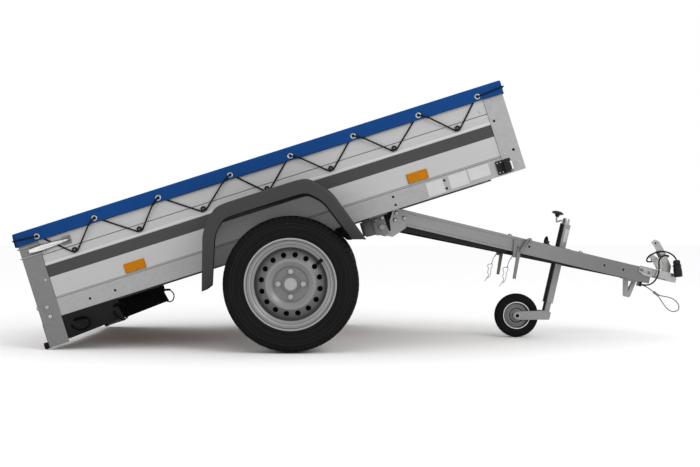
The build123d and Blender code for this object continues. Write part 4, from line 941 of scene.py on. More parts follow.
cuts = [x + d for x in EYELETS for d in (-EYELET_CUT, EYELET_CUT)]
grid_x = steps_between(cover_low.x, cover_high.x - CLOTH_ROUND, 0.014, cuts)
grid_y = steps_between(CLOTH_ROUND - cover_high.y, cover_high.y - CLOTH_ROUND, 0.016)
eyelet_depth = cover_high.z - EYELET_Z
depths = [0.0, 0.003, 0.006, 0.0085, 0.0105, 0.016, 0.023, eyelet_depth - EYELET_CUT,
          eyelet_depth + EYELET_CUT, 0.051, SKIRT]
CUT_ROW = 7   # this row of the skirt is left open at an eyelet
points = [(x, y, cover_top(x, y)) for x in grid_x for y in grid_y]
faces = grid_faces(len(grid_x), len(grid_y))
rim = [(x, grid_y[0], 0, -1) for x in grid_x]
rim += [(grid_x[-1], grid_y[0], math.sin(a), -math.cos(a)) for a in (0.4, 0.8, 1.2)]
rim += [(grid_x[-1], y, 1, 0) for y in grid_y]
rim += [(grid_x[-1], grid_y[-1], math.cos(a), math.sin(a)) for a in (0.4, 0.8, 1.2)]
rim += [(x, grid_y[-1], 0, 1) for x in reversed(grid_x)]
first = len(points)
for x, y, out_x, out_y in rim:
    for depth in depths:
        points.append(skirt_spot((x, y, cover_top(x, y)), (out_x, out_y), x, depth, 4.0))
deep = len(depths)
for i in range(len(rim) - 1):
    for k in range(deep - 1):
        middle = (rim[i][0] + rim[i + 1][0]) / 2
        cut = abs(rim[i][3]) == 1 and k == CUT_ROW and any(abs(middle - x) < EYELET_CUT / 2 for x in EYELETS)
        if not cut:
            a, b = first + i * deep + k, first + (i + 1) * deep + k
            faces.append((a, b, b + 1, a + 1))
cover = thickened(shape("cover_cloth", points, faces, "tarp", BED, smooth=60), CLOTH, -1)
fit(cover, "chassis", ["tarpaulin"])

# %% [markdown]
# The rear flap hangs in front of the tailgate and has to get out of its way, so it is a sheet of its
# own. The cord across it is a wire of its own too. Both are plain meshes, because only a mesh can be
# flattened by a joint.

# %% Rear flap and its cord
flap_low, flap_high = extent("tarp_rear_flap", BED)
flap_y = steps_between(flap_low.y, flap_high.y, 0.014)
flap_depths = [0.0, 0.003, 0.007, 0.014, 0.022, 0.030, 0.038, 0.046, 0.052, SKIRT]


def flap_spot(y, depth):
    """A point of the hanging flap, gathered towards its corners."""
    corner = near(flap_high.y - abs(y), 0.05)
    hang = min(1.0, depth / 0.01)
    fold = 0.0015 * corner * math.cos(abs(y) * 300 + depth * 60) + 0.0012 * ripple(y, depth, 0.11, 9.0)
    return (flap_high.x - 0.0016 * hang - 0.0016 + fold * hang, y, flap_high.z - depth - 0.0015 * (1 - hang))


points = [flap_spot(y, depth) for y in flap_y for depth in flap_depths]
faces = grid_faces(len(flap_y), len(flap_depths))
flap = thickened(shape("cover_flap", points, faces, "tarp", BED, smooth=60), CLOTH, 0)
fit(flap, "chassis", ["tarp_rear_flap"])

CORD_R, CORD_GAP = 0.0032, 0.0003
cord_out = cover_high.y + CORD_R + CORD_GAP
cord_back = cover_low.x - (flap_high.x - flap_low.x) - CORD_R - CORD_GAP
cord_z = EYELET_Z + 0.008
flap_route = [(cover_low.x - CORD_GAP, -cord_out, cord_z), (cord_back, -cord_out, cord_z),
              (cord_back, -cord_out, cord_z), (cord_back, 0, cord_z), (cord_back, cord_out, cord_z),
              (cord_back, cord_out, cord_z), (cover_low.x - CORD_GAP, cord_out, cord_z)]
flap_cord = fit(wire("cover_flap_cord", flap_route, CORD_R, "cord", BED), "chassis", ["flap_cord"])
for soft in (flap, flap_cord):
    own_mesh(soft)

# %% [markdown]
# The mudguards are moulded plastic: a band over the wheel with a rounded outer edge that turns down
# into a lip. The band follows two outlines, the outer edge of the arch and the lip's lower edge.
# Both get round corners the same way, so their points pair up into one smooth skin.

# %% Mudguards
ARCH = mm((340, 80), (266, 302), (211, 363), (188, 379), (152, 385))
LIP = mm((289, 95), (224, 275), (184, 315), (168, 325), (140, 329))
fender_low, fender_high = extent("fender_left", BED)
FENDER_ROUND, FENDER_WALL = 0.014, 0.003


def mirrored(half):
    return [Vector(p) for p in half] + [Vector((-x, z)) for x, z in reversed(half)]


def eased(path, reach, steps=5):
    """The path with each inner corner replaced by a short curve."""
    smooth = [path[0]]
    for before, at, after in zip(path, path[1:], path[2:]):
        one = at + (before - at).normalized() * min(reach, 0.45 * (before - at).length)
        two = at + (after - at).normalized() * min(reach, 0.45 * (after - at).length)
        for i in range(steps + 1):
            t = i / steps
            smooth.append(one * (1 - t) ** 2 + at * 2 * t * (1 - t) + two * t ** 2)
    return smooth + [path[-1]]


for side, name in SIDES:
    arch, lip = eased(mirrored(ARCH), 0.03), eased(mirrored(LIP), 0.03)
    inner, outer = fender_low.y, fender_high.y
    section = [("wall", inner), (0.0, inner), (0.0, outer - FENDER_ROUND * 3)]
    section += [("round", a) for a in (0.2, 0.45, 0.7, 0.95, 1.2, 1.4, math.pi / 2)]
    section += [(0.75, outer), (1.0, outer), (1.0, outer - 0.007)]
    points = []
    for top, low in zip(arch, lip):
        down = low - top
        wall = 1.05 + (0.10 if top.x > 0 else 0.50) * top.x / ARCH[0][0]
        for share, y in section:
            if share == "round":
                turn = y
                y = outer - FENDER_ROUND * (1 - math.sin(turn))
                spot = top + down.normalized() * FENDER_ROUND * (1 - math.cos(turn))
            else:
                spot = top + down * (wall if share == "wall" else share)
            points.append((AXLE_IN_BED.x + spot.x, side * y, AXLE_IN_BED.z + spot.y))
    skin = shape(f"mudguard_{name}", points, grid_faces(len(arch), len(section)), "fender", BED, smooth=50)
    fit(thickened(skin, FENDER_WALL, -1), "chassis", [f"fender_{name}"])
print("mudguard skins with", len(arch), "stations")

# %% [markdown]
# A tyre is a turned carcass under a ring of tread blocks. One pitch of the tread, a centre rib, two
# middle blocks and two shoulder lugs, is modelled once and a node tree repeats it round the wheel.
# The tree bends nothing: the blocks already follow the crown, so turning them is enough.

# %% Tyres
TYRE_R = wheel_centre["left"].z
PITCHES = 72
SIDEWALL = mm((180, 56), (186, 65.5), (189.5, 68), (194.5, 69.2), (196, 70.6), (199, 70.8), (200.5, 70),
              (208, 73.5), (218, 76.2), (229, 77.3), (238, 76.8), (240, 77.5), (242.5, 77), (244, 75.5),
              (252, 72), (259, 66.8), (264, 60), (266, 50), (266.8, 25))
RIBS = (
    # inner and outer edge across the tread, slant round the wheel in pitches, length in pitches
    (-0.0100, 0.0100, 0.00, 0.93),
    (0.0140, 0.0320, 0.22, 0.84),
    (-0.0320, -0.0140, 0.22, 0.84),
    (0.0362, 0.0655, 0.05, 0.80),
    (-0.0655, -0.0362, 0.05, 0.80),
)


def tread_radius(across_tread):
    return TYRE_R - 0.0005 - 0.0055 * (across_tread / 0.0635) ** 2


def tread_pitch(name):
    """One pitch of tread blocks around the z axis, at the turn 0."""
    points, faces = [], []
    pitch = 2 * math.pi / PITCHES
    for low, high, slant, long in RIBS:
        rows = []
        shoulder = max(abs(low), abs(high)) > 0.06
        for i in range(5):
            z = low + (high - low) * i / 4
            shift = slant * pitch * (z - low) / (high - low)
            row = []
            for r, turn in ((0.262, 0), (tread_radius(z), 0), (tread_radius(z), long * pitch),
                            (0.262, long * pitch)):
                row.append((r * math.cos(turn + shift), r * math.sin(turn + shift), z))
            rows.append(row)
        if shoulder:
            way = math.copysign(1, low + high)
            ordered = rows if way > 0 else rows[::-1]
            for r, z in ((0.2585, 0.0696), (0.2525, 0.0727)):
                ordered.append([(q * math.cos(t), q * math.sin(t), way * zz)
                                for q, t, zz in ((r - 0.004, 0, z - 0.006), (r, 0, z), (r, long * pitch, z),
                                                 (r - 0.004, long * pitch, z - 0.006))])
            rows = ordered
        start = len(points)
        points += [p for row in rows for p in row]
        for i in range(len(rows) - 1):
            a, b = start + 4 * i, start + 4 * (i + 1)
            faces += [(a + j, b + j, b + (j + 1) % 4, a + (j + 1) % 4) for j in range(4)]
        last = start + 4 * (len(rows) - 1)
        faces += [tuple(start + j for j in range(4)), tuple(last + j for j in range(4))]
    return shape(name, points, faces, "tyre", smooth=30)


def ring_tree():
    """A tree that repeats an object a number of times round the z axis and joins it to the input."""
    tree, start, end = empty_tree("repeat_round", "Ring", Carcass="Geometry", Pitch="Object", Count="Int",
                                  Finish="Material")
    new = tree.nodes.new
    index, spots = new("GeometryNodeInputIndex"), new("GeometryNodeMeshLine")
    pitch, angles = new("GeometryNodeObjectInfo"), new("ShaderNodeCombineXYZ")
    share, turn = new("ShaderNodeMath"), new("ShaderNodeMath")
    place, real = new("GeometryNodeInstanceOnPoints"), new("GeometryNodeRealizeInstances")
    join, dress = new("GeometryNodeJoinGeometry"), new("GeometryNodeSetMaterial")
    spots.inputs["Offset"].default_value = (0, 0, 0)
    share.operation, turn.operation = "DIVIDE", "MULTIPLY"
    turn.inputs[1].default_value = 2 * math.pi
    linked(tree, (start, "Count", spots, "Count"), (start, "Pitch", pitch, "Object"), (index, 0, share, 0),
           (start, "Count", share, 1), (share, 0, turn, 0), (turn, 0, angles, "Z"),
           (spots, 0, place, "Points"), (pitch, "Geometry", place, "Instance"),
           (angles, 0, place, "Rotation"), (place, "Instances", real, "Geometry"),
           (real, "Geometry", join, "Geometry"), (start, "Carcass", join, "Geometry"),
           (join, "Geometry", dress, "Geometry"), (start, "Finish", dress, "Material"),
           (dress, "Geometry", end, 0))
    return tree


ROUND = ring_tree()


def wheel_place(side, centre):
    """A wheel's frame: z outboard, x forward, y up on the right side."""
    return across(side, Matrix.Translation(centre))


for side, name in SIDES:
    outline = SIDEWALL + tuple((r, -z) for r, z in reversed(SIDEWALL))
    carcass = turned(f"tyre_tread_{name}", outline, "tyre", steps=144, open_ends=True)
    pitch = tread_pitch("pitch")
    tyre = modified(carcass, ROUND, Pitch=pitch, Count=PITCHES, Finish=FINISHES["tyre"])
    bpy.data.objects.remove(pitch)
    tyre.data.transform(wheel_place(side, wheel_centre[name]))
    fit(tyre, f"wheel_{name}", [f"tyre_{name}"])
print("tyres with", PITCHES, "pitches,", len(tyre.data.polygons), "faces")

# %% [markdown]
# The pressed rims and their hubs are CAD parts. A rubber valve pokes through each rim between two
# vents, four painted bolt caps stand round the hub, and a dark disc behind the vents is painted shade,
# the dark seen through them.

# %% Valves, bolt caps and painted vent shade
BOLT_CAP = mm((0.1, 30), (11.8, 30), (11.8, 38.5), (9.5, 42.5), (0.1, 43.5))
VENT_SHADE_DISC = mm((45, -4), (145, -4), (145, -2), (45, -2))
VALVE = mm((0.1, 0), (9.5, 0), (10, 3), (8, 6), (7.2, 22), (6.6, 24), (6.6, 33), (5.5, 36), (0.1, 36))
VALVE_AT = Matrix.Rotation(math.radians(38), 4, "Z") @ shift(0.163, 0, 0.031)
VALVE_LEAN = Matrix.Rotation(math.radians(-50), 4, "Y")
BOLT_CIRCLE = shift(0.050, 0, 0)
for side, name in SIDES:
    wheel = wheel_place(side, wheel_centre[name])
    fit(turned(f"valve_{name}", VALVE, "rubber", wheel @ VALVE_AT @ VALVE_LEAN, 20), f"wheel_{name}")
    # a dark disc behind the vents: painted shade seen through them
    fit(turned(f"dust_disc_{name}", VENT_SHADE_DISC, "rubber", wheel), f"wheel_{name}")
    caps = [turned(f"bolt_cap_{name}_{i}", BOLT_CAP, "bright_steel",
                   wheel @ Matrix.Rotation(i * math.pi / 2, 4, "Z") @ BOLT_CIRCLE, 20) for i in range(4)]
    fit(joined(f"bolt_caps_{name}", caps), f"wheel_{name}")
print("wheels dressed")

# %% [markdown]
# Two over-centre catches hold the tailgate shut. Each is a pressed lever, wide at its root and
# narrow at its tip, with raised rims, on a small base plate. The wire bail that it pulls is CAD.

# %% Catches
lever_low, lever_high = extent("catch_levers", BED)
lever_mid = (lever_low.z + lever_high.z) / 2
LEVER_FACE = lever_high.y - 0.006
LEVER = mm((36, -6), (40, -10), (60, -13), (120, -13), (170, -9), (200, -6), (209, -3), (211, 0))
for side, name in SIDES:
    place, root = bed_side(side, 0, LEVER_FACE, lever_mid), bed_side(side, 0, HALF, lever_mid)
    outline = list(LEVER) + [(x, -y) for x, y in reversed(LEVER[:-1])]
    floor = plate(f"catch_floor_{name}", outline, 0.002, "bright_zinc", place)
    walls = []
    for way in (-1, 1):
        run_points = [(x, way * (abs(y) - 0.0012), 0.0045) for x, y in LEVER[1:-1]]
        # the raised rims are dark steel: painted shade along the lever's edges
        walls.append(wire(f"catch_rim_{name}_{way}", run_points, 0.0019, "dark_steel", place))
    ridge = wire(f"catch_ridge_{name}", mm((75, 0, 2), (120, 0, 3.5), (185, 0, 2)), 0.003, "bright_zinc",
                 place)
    rest = plate(f"catch_base_{name}", rounded_box((0.176, -0.018), (0.212, 0.018), 0.004), 0.0035,
                 "dull_zinc", root, 0.0008)
    knuckle = plate(f"catch_knuckle_{name}", rounded_box((0.183, -0.011), (0.2, 0.011), 0.003),
                    LEVER_FACE - HALF, "dull_zinc", root, 0.0008)
    fit(joined(f"catch_{name}", [floor, *walls, ridge, rest, knuckle]), "chassis",
        ["catch_levers"] if side > 0 else [])
print("catches built")

# %% [markdown]
# Lamps and reflectors are moulded lenses with soft rims. The front markers are a black bracket with
# a housing and a white lens that looks forward. The rear lamps share a black tray and have red,
# amber and clear fields.

# %% Reflectors and lamps
for index, along in enumerate((0.428, 1.640)):
    for side, name in SIDES:
        place = bed_side(side, along, HALF, SILL_TOP + 0.030)
        back = plate(f"reflector_back_{index}_{name}", rounded_box((-0.044, -0.020), (0.044, 0.020), 0.003),
                     0.003, "amber", place)
        lens = plate(f"reflector_lens_{index}_{name}", rounded_box((-0.042, -0.018), (0.042, 0.018), 0.003),
                     0.006, "amber", place, 0.0012)
        fit(joined(f"reflector_{index}_{name}", [back, lens]), "chassis",
            ["side_reflectors"] if (index, side) == (0, 1) else [])

MARKER = BED_LENGTH - 0.080
MARKER_BRACKET = rounded_box((-0.032, 0.005), (0.032, 0.062), 0.005)
MARKER_HOUSING = mm((-2, 6), (20, 10), (26, 18), (26, 44), (18, 52), (-2, 56))
MARKER_STUDS = mm((-24, 13), (-24, 54), (-10, 13), (-10, 54), (26, 10))
STUD = mm((0.1, 0), (3.2, 0), (2.8, 1.5), (0.1, 2))
for side, name in SIDES:
    place = bed_side(side, MARKER, POST_FACE)
    bracket = plate(f"marker_bracket_{name}", flank(side, MARKER_BRACKET), 0.003, "plastic", place, 0.0008)
    housing = plate(f"marker_housing_{name}", flank(side, MARKER_HOUSING), 0.023, "plastic",
                    place @ shift(0, 0, 0.003), 0.002)
    front = place @ shift(0.0245, -side * 0.031, 0.0235) @ Matrix.Rotation(math.pi / 2, 4, "Y")
    lens = plate(f"marker_lens_{name}", rounded_box((0.0, -0.017), (0.018, 0.017), 0.003), 0.008,
                 "lamp_clear", front, 0.002)
    studs = [turned(f"marker_stud_{name}_{i}", STUD, "zinc", place @ shift(*spot, 0.003), 12)
             for i, spot in enumerate(flank(side, MARKER_STUDS))]
    fit(joined(f"marker_{name}", [bracket, housing, lens, *studs]), "chassis",
        ["front_marker_lamps"] if side > 0 else [])

lamp_low, lamp_high = extent("rear_lamps", BED)
LAMP_WIDE, TRAY_THICK, LENS_THICK = 0.200, 0.0155, 0.017
FIELDS = (
    # share of the lamp's width from its outboard end, finish
    (0.0, 0.30, "amber"),
    (0.30, 0.72, "lamp_red"),
    (0.72, 1.0, "lamp_clear"),
)


def rearward(side=1):
    """Frame on the bed's rear end: z backwards, y up, x outboard on its side."""
    return BED @ Matrix(((0, 0, -1, 0), (side, 0, 0, 0), (0, 1, 0, 0), (0, 0, 0, 1)))


for side, name in SIDES:
    rear, outboard = rearward(side), lamp_high.y
    tray = plate(f"lamp_tray_{name}", rounded_box((outboard - LAMP_WIDE, lamp_low.z), (outboard, lamp_high.z),
                                                  0.010), TRAY_THICK, "plastic", rear, 0.0015)
    fields = []
    for index, (low, high, look) in enumerate(FIELDS):
        box = rounded_box((outboard - LAMP_WIDE * high + 0.004, lamp_low.z + 0.005),
                          (outboard - LAMP_WIDE * low - 0.004, lamp_high.z - 0.005), 0.006)
        fields.append(plate(f"lamp_field_{name}_{index}", box, LENS_THICK, look, rear, 0.002))
    fit(joined(f"rear_lamp_{name}", [tray, *fields]), "chassis",
        ["rear_lamps"] if side > 0 else [])
fit(plate("number_plate", rounded_box((-0.13, -0.098), (0.13, -0.002), 0.006), 0.0025, "label", rearward(),
          0.0005), "chassis")
print("lamps and reflectors fitted")

# %% [markdown]
# Blank plates on the sill stand where a maker would rivet data plates. They carry no text here.

# %% Data plates
SILL_PLATES = mm((1662, 1733, 6, 64), (1758, 1836, 10, 66), (1842, 1930, 18, 66))
blanks = []
for index, (start, end, low, high) in enumerate(SILL_PLATES):
    blanks.append(plate(f"plate_{index}", rounded_box((start, low), (end, high), 0.003), 0.0006, "label",
                        bed_side(-1)))
fit(joined("data_plates", blanks), "chassis")

# %% [markdown]
# The jockey wheel has a rubber tyre with two shallow grooves on a stepped rim. Its profiles are
# turned like the big wheel's, at their own size.

# %% Jockey wheel
jockey = Vector(JOINTS["jockey_wheel_spin"]["pos_m"])
jockey_place = across(-1, Matrix.Translation(jockey))
SMALL_TYRE = mm((62.3, 20), (68, 23.5), (80, 24.8), (90, 24), (96, 19.5), (99, 12), (97.5, 10.5), (97.5, 8.5),
                (99.7, 7))
small = SMALL_TYRE + ((0.0999, 0.0),) + tuple((r, -z) for r, z in reversed(SMALL_TYRE))
fit(turned("jockey_rubber", small, "tyre", jockey_place, 96), "jockey_wheel", ["jockey_tyre"])
SMALL_RIM = mm((8.5, 28), (18.5, 28), (21, 25), (22.5, 12), (34, 11), (36.5, 14.5), (42, 14.5), (45, 10),
               (52, 9), (54.5, 19), (59, 21), (62, 20.5))
small = SMALL_RIM + tuple((r, -z) for r, z in reversed(SMALL_RIM))
fit(turned("jockey_disc", small, "wheel_plastic", jockey_place, 72), "jockey_wheel",
    ["jockey_rim"])

# %% [markdown]
# The winding handle on top is a bent rod with a mushroom knob. The rod is a wire through three
# points, the knob and the head that holds it are turned.

# %% Winding handle
head_place = DRAWBAR @ shift(TUBE_X, 0, tube_high.z)
head = turned("crank_head", mm((0.1, 0), (24.5, 0), (24.5, 3), (16.5, 5), (16, 26), (14.5, 29), (0.1, 30)),
              "zinc", head_place, 40)
rod = wire("crank_rod", mm((0, 0, 17), (-20, 0, 16.5), (-34, 0, 10), (-41, 0, 4), (-45.5, 0, 10),
                           (-46, 0, 34)), 0.0042, "zinc", head_place)
knob = turned("crank_knob", mm((0.1, -2), (8.5, -2), (10, 6), (15, 9), (27, 13), (27.8, 16.5), (23, 21),
                               (13, 25), (0.1, 26)), "plastic", head_place @ shift(-0.046, 0, 0.029), 40)
fit(joined("winding_handle", [head, rod, knob]), "jockey_tube", ["jockey_crank"])

# %% [markdown]
# A spring clip hangs on a blue string from each lock strap, and keeps the strap's pin in place on the
# road. The clip is one wire, straight on one leg and waved on the other.

# %% Spring clips
STRINGS = ((0.01, 0.06, 0.25, 1), (0.02, 0.10, 0.36, 1))
finish_named("string", lambda p: {"Base Color": p.speckle(300.0).mixed(*STRINGS)}, Roughness=0.7)
WAVED_LEG = mm((-8, -46), (-26, -48), (-30, -58), (-18, -72), (-24, -86), (-12, -102), (-20, -120), (-26, -134))
STRAIGHT_LEG = mm((-8, -46), (-4, -54), (-10, -66), (-6, -90), (-8, -112), (-20, -118))
STRING = mm((16, 52), (4, 30), (-4, -4), (-12, -24), (-10, -46))
KNOTS = mm((16, 52), (-4, -4), (-11, -44))
KNOT = mm((0.1, -3), (2.5, -2), (3.2, 0), (2.5, 2), (0.1, 3))
CLIP_WIRES = (
    # name, route, radius, finish
    ("spring_clip", WAVED_LEG, 0.0016, "zinc"),
    ("spring_clip_leg", STRAIGHT_LEG, 0.0016, "zinc"),
    ("clip_string", STRING, 0.0014, "string"),
)
strap_low, strap_high = extent("lock_straps", DRAWBAR)
for side, name in SIDES:
    strap = DRAWBAR @ shift(strap_low.x + 0.014, side * (strap_high.y - 0.012), 0)
    wires = [wire(f"{label}_{name}", [(x, 0, z) for x, z in route], radius, look, strap)
             for label, route, radius, look in CLIP_WIRES]
    knots = [turned(f"knot_{name}_{i}", KNOT, "string", strap @ shift(x, 0, z), 12)
             for i, (x, z) in enumerate(KNOTS)]
    fit(joined(f"clip_and_string_{name}", [*wires, *knots]), "drawbar")
print("clips hung")

# %% [markdown]
# The drawbar arms are folded channels, open towards each other, with small lips on their edges. Each
# outline is stretched along the arm, whose outer face leans inwards towards the coupling. A dark tapered
# strip below the inner edge is painted shade under the arm.

# %% Drawbar arms
WALL, FOLD = 0.0035, 0.013
CHANNEL = (
    # inward from the outer face, height
    (0, ARM_LOW), (0, ARM_HIGH), (ARM_WIDTH, ARM_HIGH), (ARM_WIDTH, ARM_HIGH - FOLD),
    (ARM_WIDTH - WALL, ARM_HIGH - FOLD), (ARM_WIDTH - WALL, ARM_HIGH - WALL), (WALL, ARM_HIGH - WALL),
    (WALL, ARM_LOW + WALL), (ARM_WIDTH - WALL, ARM_LOW + WALL), (ARM_WIDTH - WALL, ARM_LOW + FOLD),
    (ARM_WIDTH, ARM_LOW + FOLD), (ARM_WIDTH, ARM_LOW),
)
# painted shade: a dark tapered sheet below the arm's inner edge
SHADE_STRIP = (
    # along the arm, height
    (0.090, ARM_LOW), (1.150, ARM_LOW), (1.150, ARM_LOW - 0.001), (0.090, ARM_LOW - 0.024),
)
for side, name in SIDES:
    points = [(along, side * arm_face(along, inward), height) for along in (-0.015, ARM_LENGTH)
              for inward, height in CHANNEL]
    arm = soften(shape(f"arm_{name}", points, prism_faces(len(CHANNEL)), "arm_steel", DRAWBAR), 0.0011, 1)
    fit(arm, "drawbar", [f"drawbar_arm_{name}"])
    points = [(along, side * arm_face(along, inward), height) for inward in (0.030, 0.0335)
              for along, height in SHADE_STRIP]
    # the dark strip of painted shade under each arm
    fit(shape(f"arm_skirt_{name}", points, prism_faces(4), "plastic", DRAWBAR), "drawbar")
print("arms folded from", WALL * 1000, "mm sheet")

# %% [markdown]
# Under the bed the drawbar turns between folded brackets. Each side has a square cheek plate with a
# round bolt head, two nuts that hold it to the sill, an inner plate in dark steel that is painted shade, and
# beside it a dark plate that is painted shade inside the bracket.

# %% Hinge brackets
CHEEK = mm((1409.3, -6), (1463, -6), (1460.7, -88.3), (1409.5, -79))
INNER_PLATE = mm((1367.5, -3), (1412, -3), (1408, -75.4), (1366.8, -72.5))
# painted shade: a dark sheet where the inside of the bracket lies in shade
SHADE_PLATE = mm((1460, -3), (1504.1, -1), (1480.4, -36), (1472.6, -77.2), (1465.7, -78.1), (1460, -30))
BRACKET = (
    # name, outline, distance from the middle, thickness, finish
    ("cheek", CHEEK, 0.486, 0.006, "dull_steel"),
    # the inner plate's dark steel and the stop's dark sheet are painted shade
    ("inner", INNER_PLATE, 0.480, 0.005, "dark_steel"),
    ("stop", SHADE_PLATE, 0.4815, 0.003, "rubber"),
)
ROOT = mm((1399, 486), (1477, 486), (1477, 572), (1399, 572))
FLANGE_EDGE = mm((1503.6, -3.5), (1494, -19.5), (1484.3, -35.9))
NUT = mm((0.1, 0), (8.5, 0), (8.5, 6), (6.5, 7.5), (5, 7.5), (5, 10), (0.1, 10.5))
PIVOT_PIN = mm((0.1, 0), (10, 0), (10, 58), (12.5, 58), (13, 60), (12.5, 66), (10.5, 68.5), (0.1, 69))
for side, name in SIDES:
    pieces = [plate(f"hinge_{label}_{name}", flank(side, outline), thick, look, bed_side(side, 0, start),
                    0.0008) for label, outline, start, thick, look in BRACKET]
    pieces.append(plate(f"hinge_root_{name}", [(x, side * y) for x, y in ROOT], 0.006, "dark_steel",
                        BED @ shift(0, 0, -0.006)))
    pieces.append(wire(f"hinge_edge_{name}", [(x, side * 0.487, z) for x, z in FLANGE_EDGE], 0.0028, "zinc", BED))
    for index, (x, z, look) in enumerate(((1.4248, -0.0165, "dull_zinc"), (1.4533, -0.0145, "zinc"))):
        pieces.append(turned(f"hinge_nut_{name}_{index}", NUT, look, bed_side(side, x, 0.492, z), 6))
    fit(joined(f"hinge_bracket_{name}", pieces), "chassis", ["hinge_brackets"] if side > 0 else [])
    place = bed_side(side, PIVOT_IN_BED.x, 0.434, PIVOT_IN_BED.z)
    pin = turned(f"pivot_pin_{name}", PIVOT_PIN, "steel", place, 32)
    fit(pin, "chassis", ["pivot_bolts"] if side > 0 else [])
print("hinge built")

# %% [markdown]
# The lamp wiring runs behind the posts under a guard plate. Two cables come out of each guard and go
# back in with a loop to spare. A short foot plate holds each mudguard's front end to the sill.

# %% Guards, lamp cables and mudguard feet
GUARD = mm((3, 0), (320.5, 0), (320, -22), (313, -38), (323.1, -84.3), (88.9, -99.5), (3, -88))
FOOT_PLATE = mm((1250.4, -1), (1315.9, -1), (1306.4, -64.8), (1287.1, -58.6))
LOOPS = (
    # along the bed, out from the guard, height
    mm((122, 0, -34), (130, 10, -33), (150, 14, -32), (176, 15, -36), (190, 16, -55), (181, 17, -76),
       (148, 17, -84), (122, 16, -70), (112, 12, -56), (108, 0, -50)),
    mm((294, 0, -28), (303, 10, -27), (320, 14, -24), (343, 15, -34), (355, 16, -62), (343, 17, -88),
       (320, 17, -94), (298, 16, -74), (292, 12, -56), (290, 0, -48)),
)
LOOP_R = 0.0031
for side, name in SIDES:
    place = bed_side(side, 0, HALF - 0.003)
    guard = plate(f"guard_{name}", flank(side, GUARD), 0.003, "guard", place, 0.0006)
    fold = wire(f"guard_fold_{name}", [(0.088, side * HALF, -0.089), (0.205, side * HALF, -0.0815),
                                       (0.318, side * HALF, -0.0735)], 0.0016, "guard", BED)
    fit(joined(f"lamp_guard_{name}", [guard, fold]), "chassis",
        ["lamp_guards"] if side > 0 else [])
    for index, route in enumerate(LOOPS):
        path = [(x, side * (HALF + out), z) for x, out, z in route]
        lead = wire(f"lamp_lead_{name}_{index}", path, LOOP_R, "lead", BED, as_mesh=False)
        relief = wire(f"lead_relief_{name}_{index}", path[1:4], LOOP_R * 1.8, "lead", BED)
        fit(lead, "chassis", ["lamp_cables"] if (side, index) == (1, 0) else [])
        fit(relief, "chassis")
        length_of(lead)
    place = bed_side(side, 0, POST_FACE)
    fit(plate(f"mudguard_foot_{name}", flank(side, FOOT_PLATE), 0.004, "rubber", place, 0.0006), "chassis")
print("lamp leads", round(length_of(lead), 3), "m each")

# %% [markdown]
# The jockey wheel's tube is held by a clamp with a pointed plastic knob. Caps on the ends of the
# wheel's axle in its fork are a washer with a dark hexagon of painted shade for the hex socket.

# %% Clamp knob and axle caps
clamp_knob = turned("clamp_knob", mm((0.1, 98), (8, 98), (9.2, 104), (9.2, 122), (7, 129), (2.4, 135),
                                     (0.1, 136)), "rubber", DRAWBAR @ shift(0.7625, 0, 0), 28)
fit(clamp_knob, "drawbar")
fork_half = extent("jockey_fork", DRAWBAR)[1].y
for side, name in SIDES:
    place = across(side, Matrix.Translation(jockey + Vector((0, side * fork_half, 0))))
    washer = turned(f"axle_washer_{name}", mm((9, 0), (13.5, 0), (13.5, 1.2), (9, 1.2)), "zinc", place, 32)
    # a dark hexagon of painted shade for the axle's hex socket
    socket = turned(f"axle_socket_{name}", mm((0.1, 0), (9.2, 0), (9.2, 1.8), (0.1, 0.6)), "rubber", place, 6)
    fit(joined(f"axle_cap_{name}", [washer, socket]), "jockey_fork")

# %% [markdown]
# The coupling is pressed from thick sheet: long ribs stiffen its sides, a lip runs round its lower
# edge and two bolts go through the arms. Its handle's slot and hole are dark marks of painted shade.

# %% Coupling details
CHEEK_OUT = GUSSET + 0.0005
SIDE_RIB = mm((1196, 81), (1212, 77), (1232, 74), (1250, 70))
TOP_EDGE = mm((1192, 95.5), (1222, 95.5), (1255, 95.5))
COUPLING_BOLTS = ((1.2035, 0.0800), (1.2405, 0.0745))
HEX_BOLT = mm((0.1, 0), (6.8, 0), (6.8, 4), (4.5, 5.5), (4.5, 9), (0.1, 9.5))
details = []
for side, name in SIDES:
    for label, route, radius in (("side_rib", SIDE_RIB, 0.0035), ("top_edge", TOP_EDGE, 0.0022)):
        path = [(x, side * arm_face(x, -CHEEK_OUT), z) for x, z in route]
        details.append(wire(f"{label}_{name}", path, radius, "zinc", DRAWBAR))
    for index, (spot, way) in enumerate(arm_spots(COUPLING_BOLTS, CHEEK_OUT, ((side, name),))):
        details.append(turned(f"coupling_bolt_{name}_{index}", HEX_BOLT, "dull_zinc", turned_to(spot, way),
                              6))
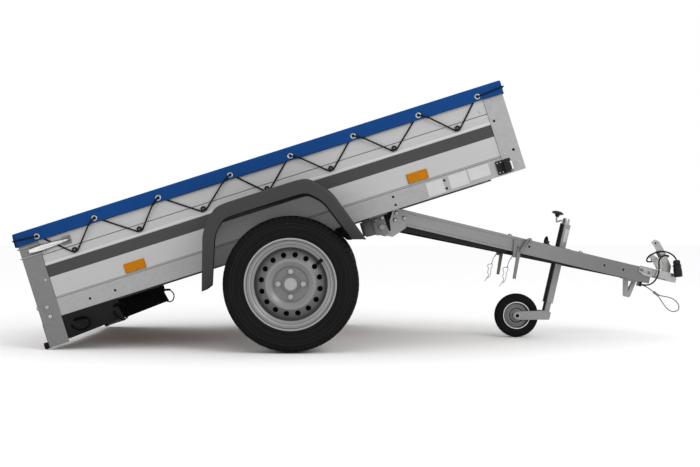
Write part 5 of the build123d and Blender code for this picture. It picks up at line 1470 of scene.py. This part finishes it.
lip = mm((1262, -50, 60.5), (1290, -44, 60.5), (1330, -40, 60.5), (1368, -30, 60.5), (1384, 0, 60.5),
         (1368, 30, 60.5), (1330, 40, 60.5), (1290, 44, 60.5), (1262, 50, 60.5))
details.append(wire("coupling_lip", lip, 0.0025, "dull_zinc", DRAWBAR))
fit(joined("coupling_details", details), "drawbar")
handle_half = extent("coupling_handle", DRAWBAR)[1].y
# dark marks for the handle's slot and hole: painted shade of the openings
marks = []
for side, name in SIDES:
    place = across(side, NOSE @ shift(0, side * handle_half, 0))
    marks.append(plate(f"handle_slot_{name}", flank(side, mm((12, 178), (19, 184), (41, 158), (34, 152))),
                       0.0006, "dark_steel", place))
    marks.append(turned(f"handle_hole_{name}", mm((0.1, 0), (4.5, 0), (4.5, 0.6), (0.1, 0.6)), "rubber",
                        place @ shift(-0.002, -side * 0.215, 0), 20))
fit(joined("handle_marks", marks), "drawbar")
print("coupling dressed")

# %% [markdown]
# The floor is a plain pale stage, and a white world gives an even light, as in a white tent.
# One large soft lamp on the right and above shapes the metal, and a weaker one fills the left.

# %% Floor and light
finish_named("studio_floor", None, **{"Base Color": grey(0.97), "Roughness": 1.0, SHEEN: 0.0})
floor = shape("studio_floor", [(x, y, -0.0005) for x, y in ((-30, -12), (30, -12), (30, 40), (-30, 40))],
              [(0, 1, 2, 3)], "studio_floor")

world = bpy.data.worlds.new("studio")
scene.world = world
world.use_nodes = True
world.node_tree.nodes["Background"].inputs["Color"].default_value = (1, 1, 1, 1)
world.node_tree.nodes["Background"].inputs["Strength"].default_value = 1.0


def soft_lamp(name, place, aim, size, power):
    """A large square lamp aimed at a point."""
    lamp = added(name, bpy.data.lights.new(name, "AREA"))
    lamp.data.size, lamp.data.energy = size, power
    lamp.location = place
    lamp.rotation_euler = (Vector(aim) - Vector(place)).to_track_quat("-Z", "Y").to_euler()


soft_lamp("key", (3.2, -4.2, 3.4), (0, 0, 0.5), 2.5, 90)
soft_lamp("fill", (-4.0, -4.5, 1.6), (0, 0, 0.5), 3.0, 25)
scene.view_settings.view_transform = "Standard"
print("lit")
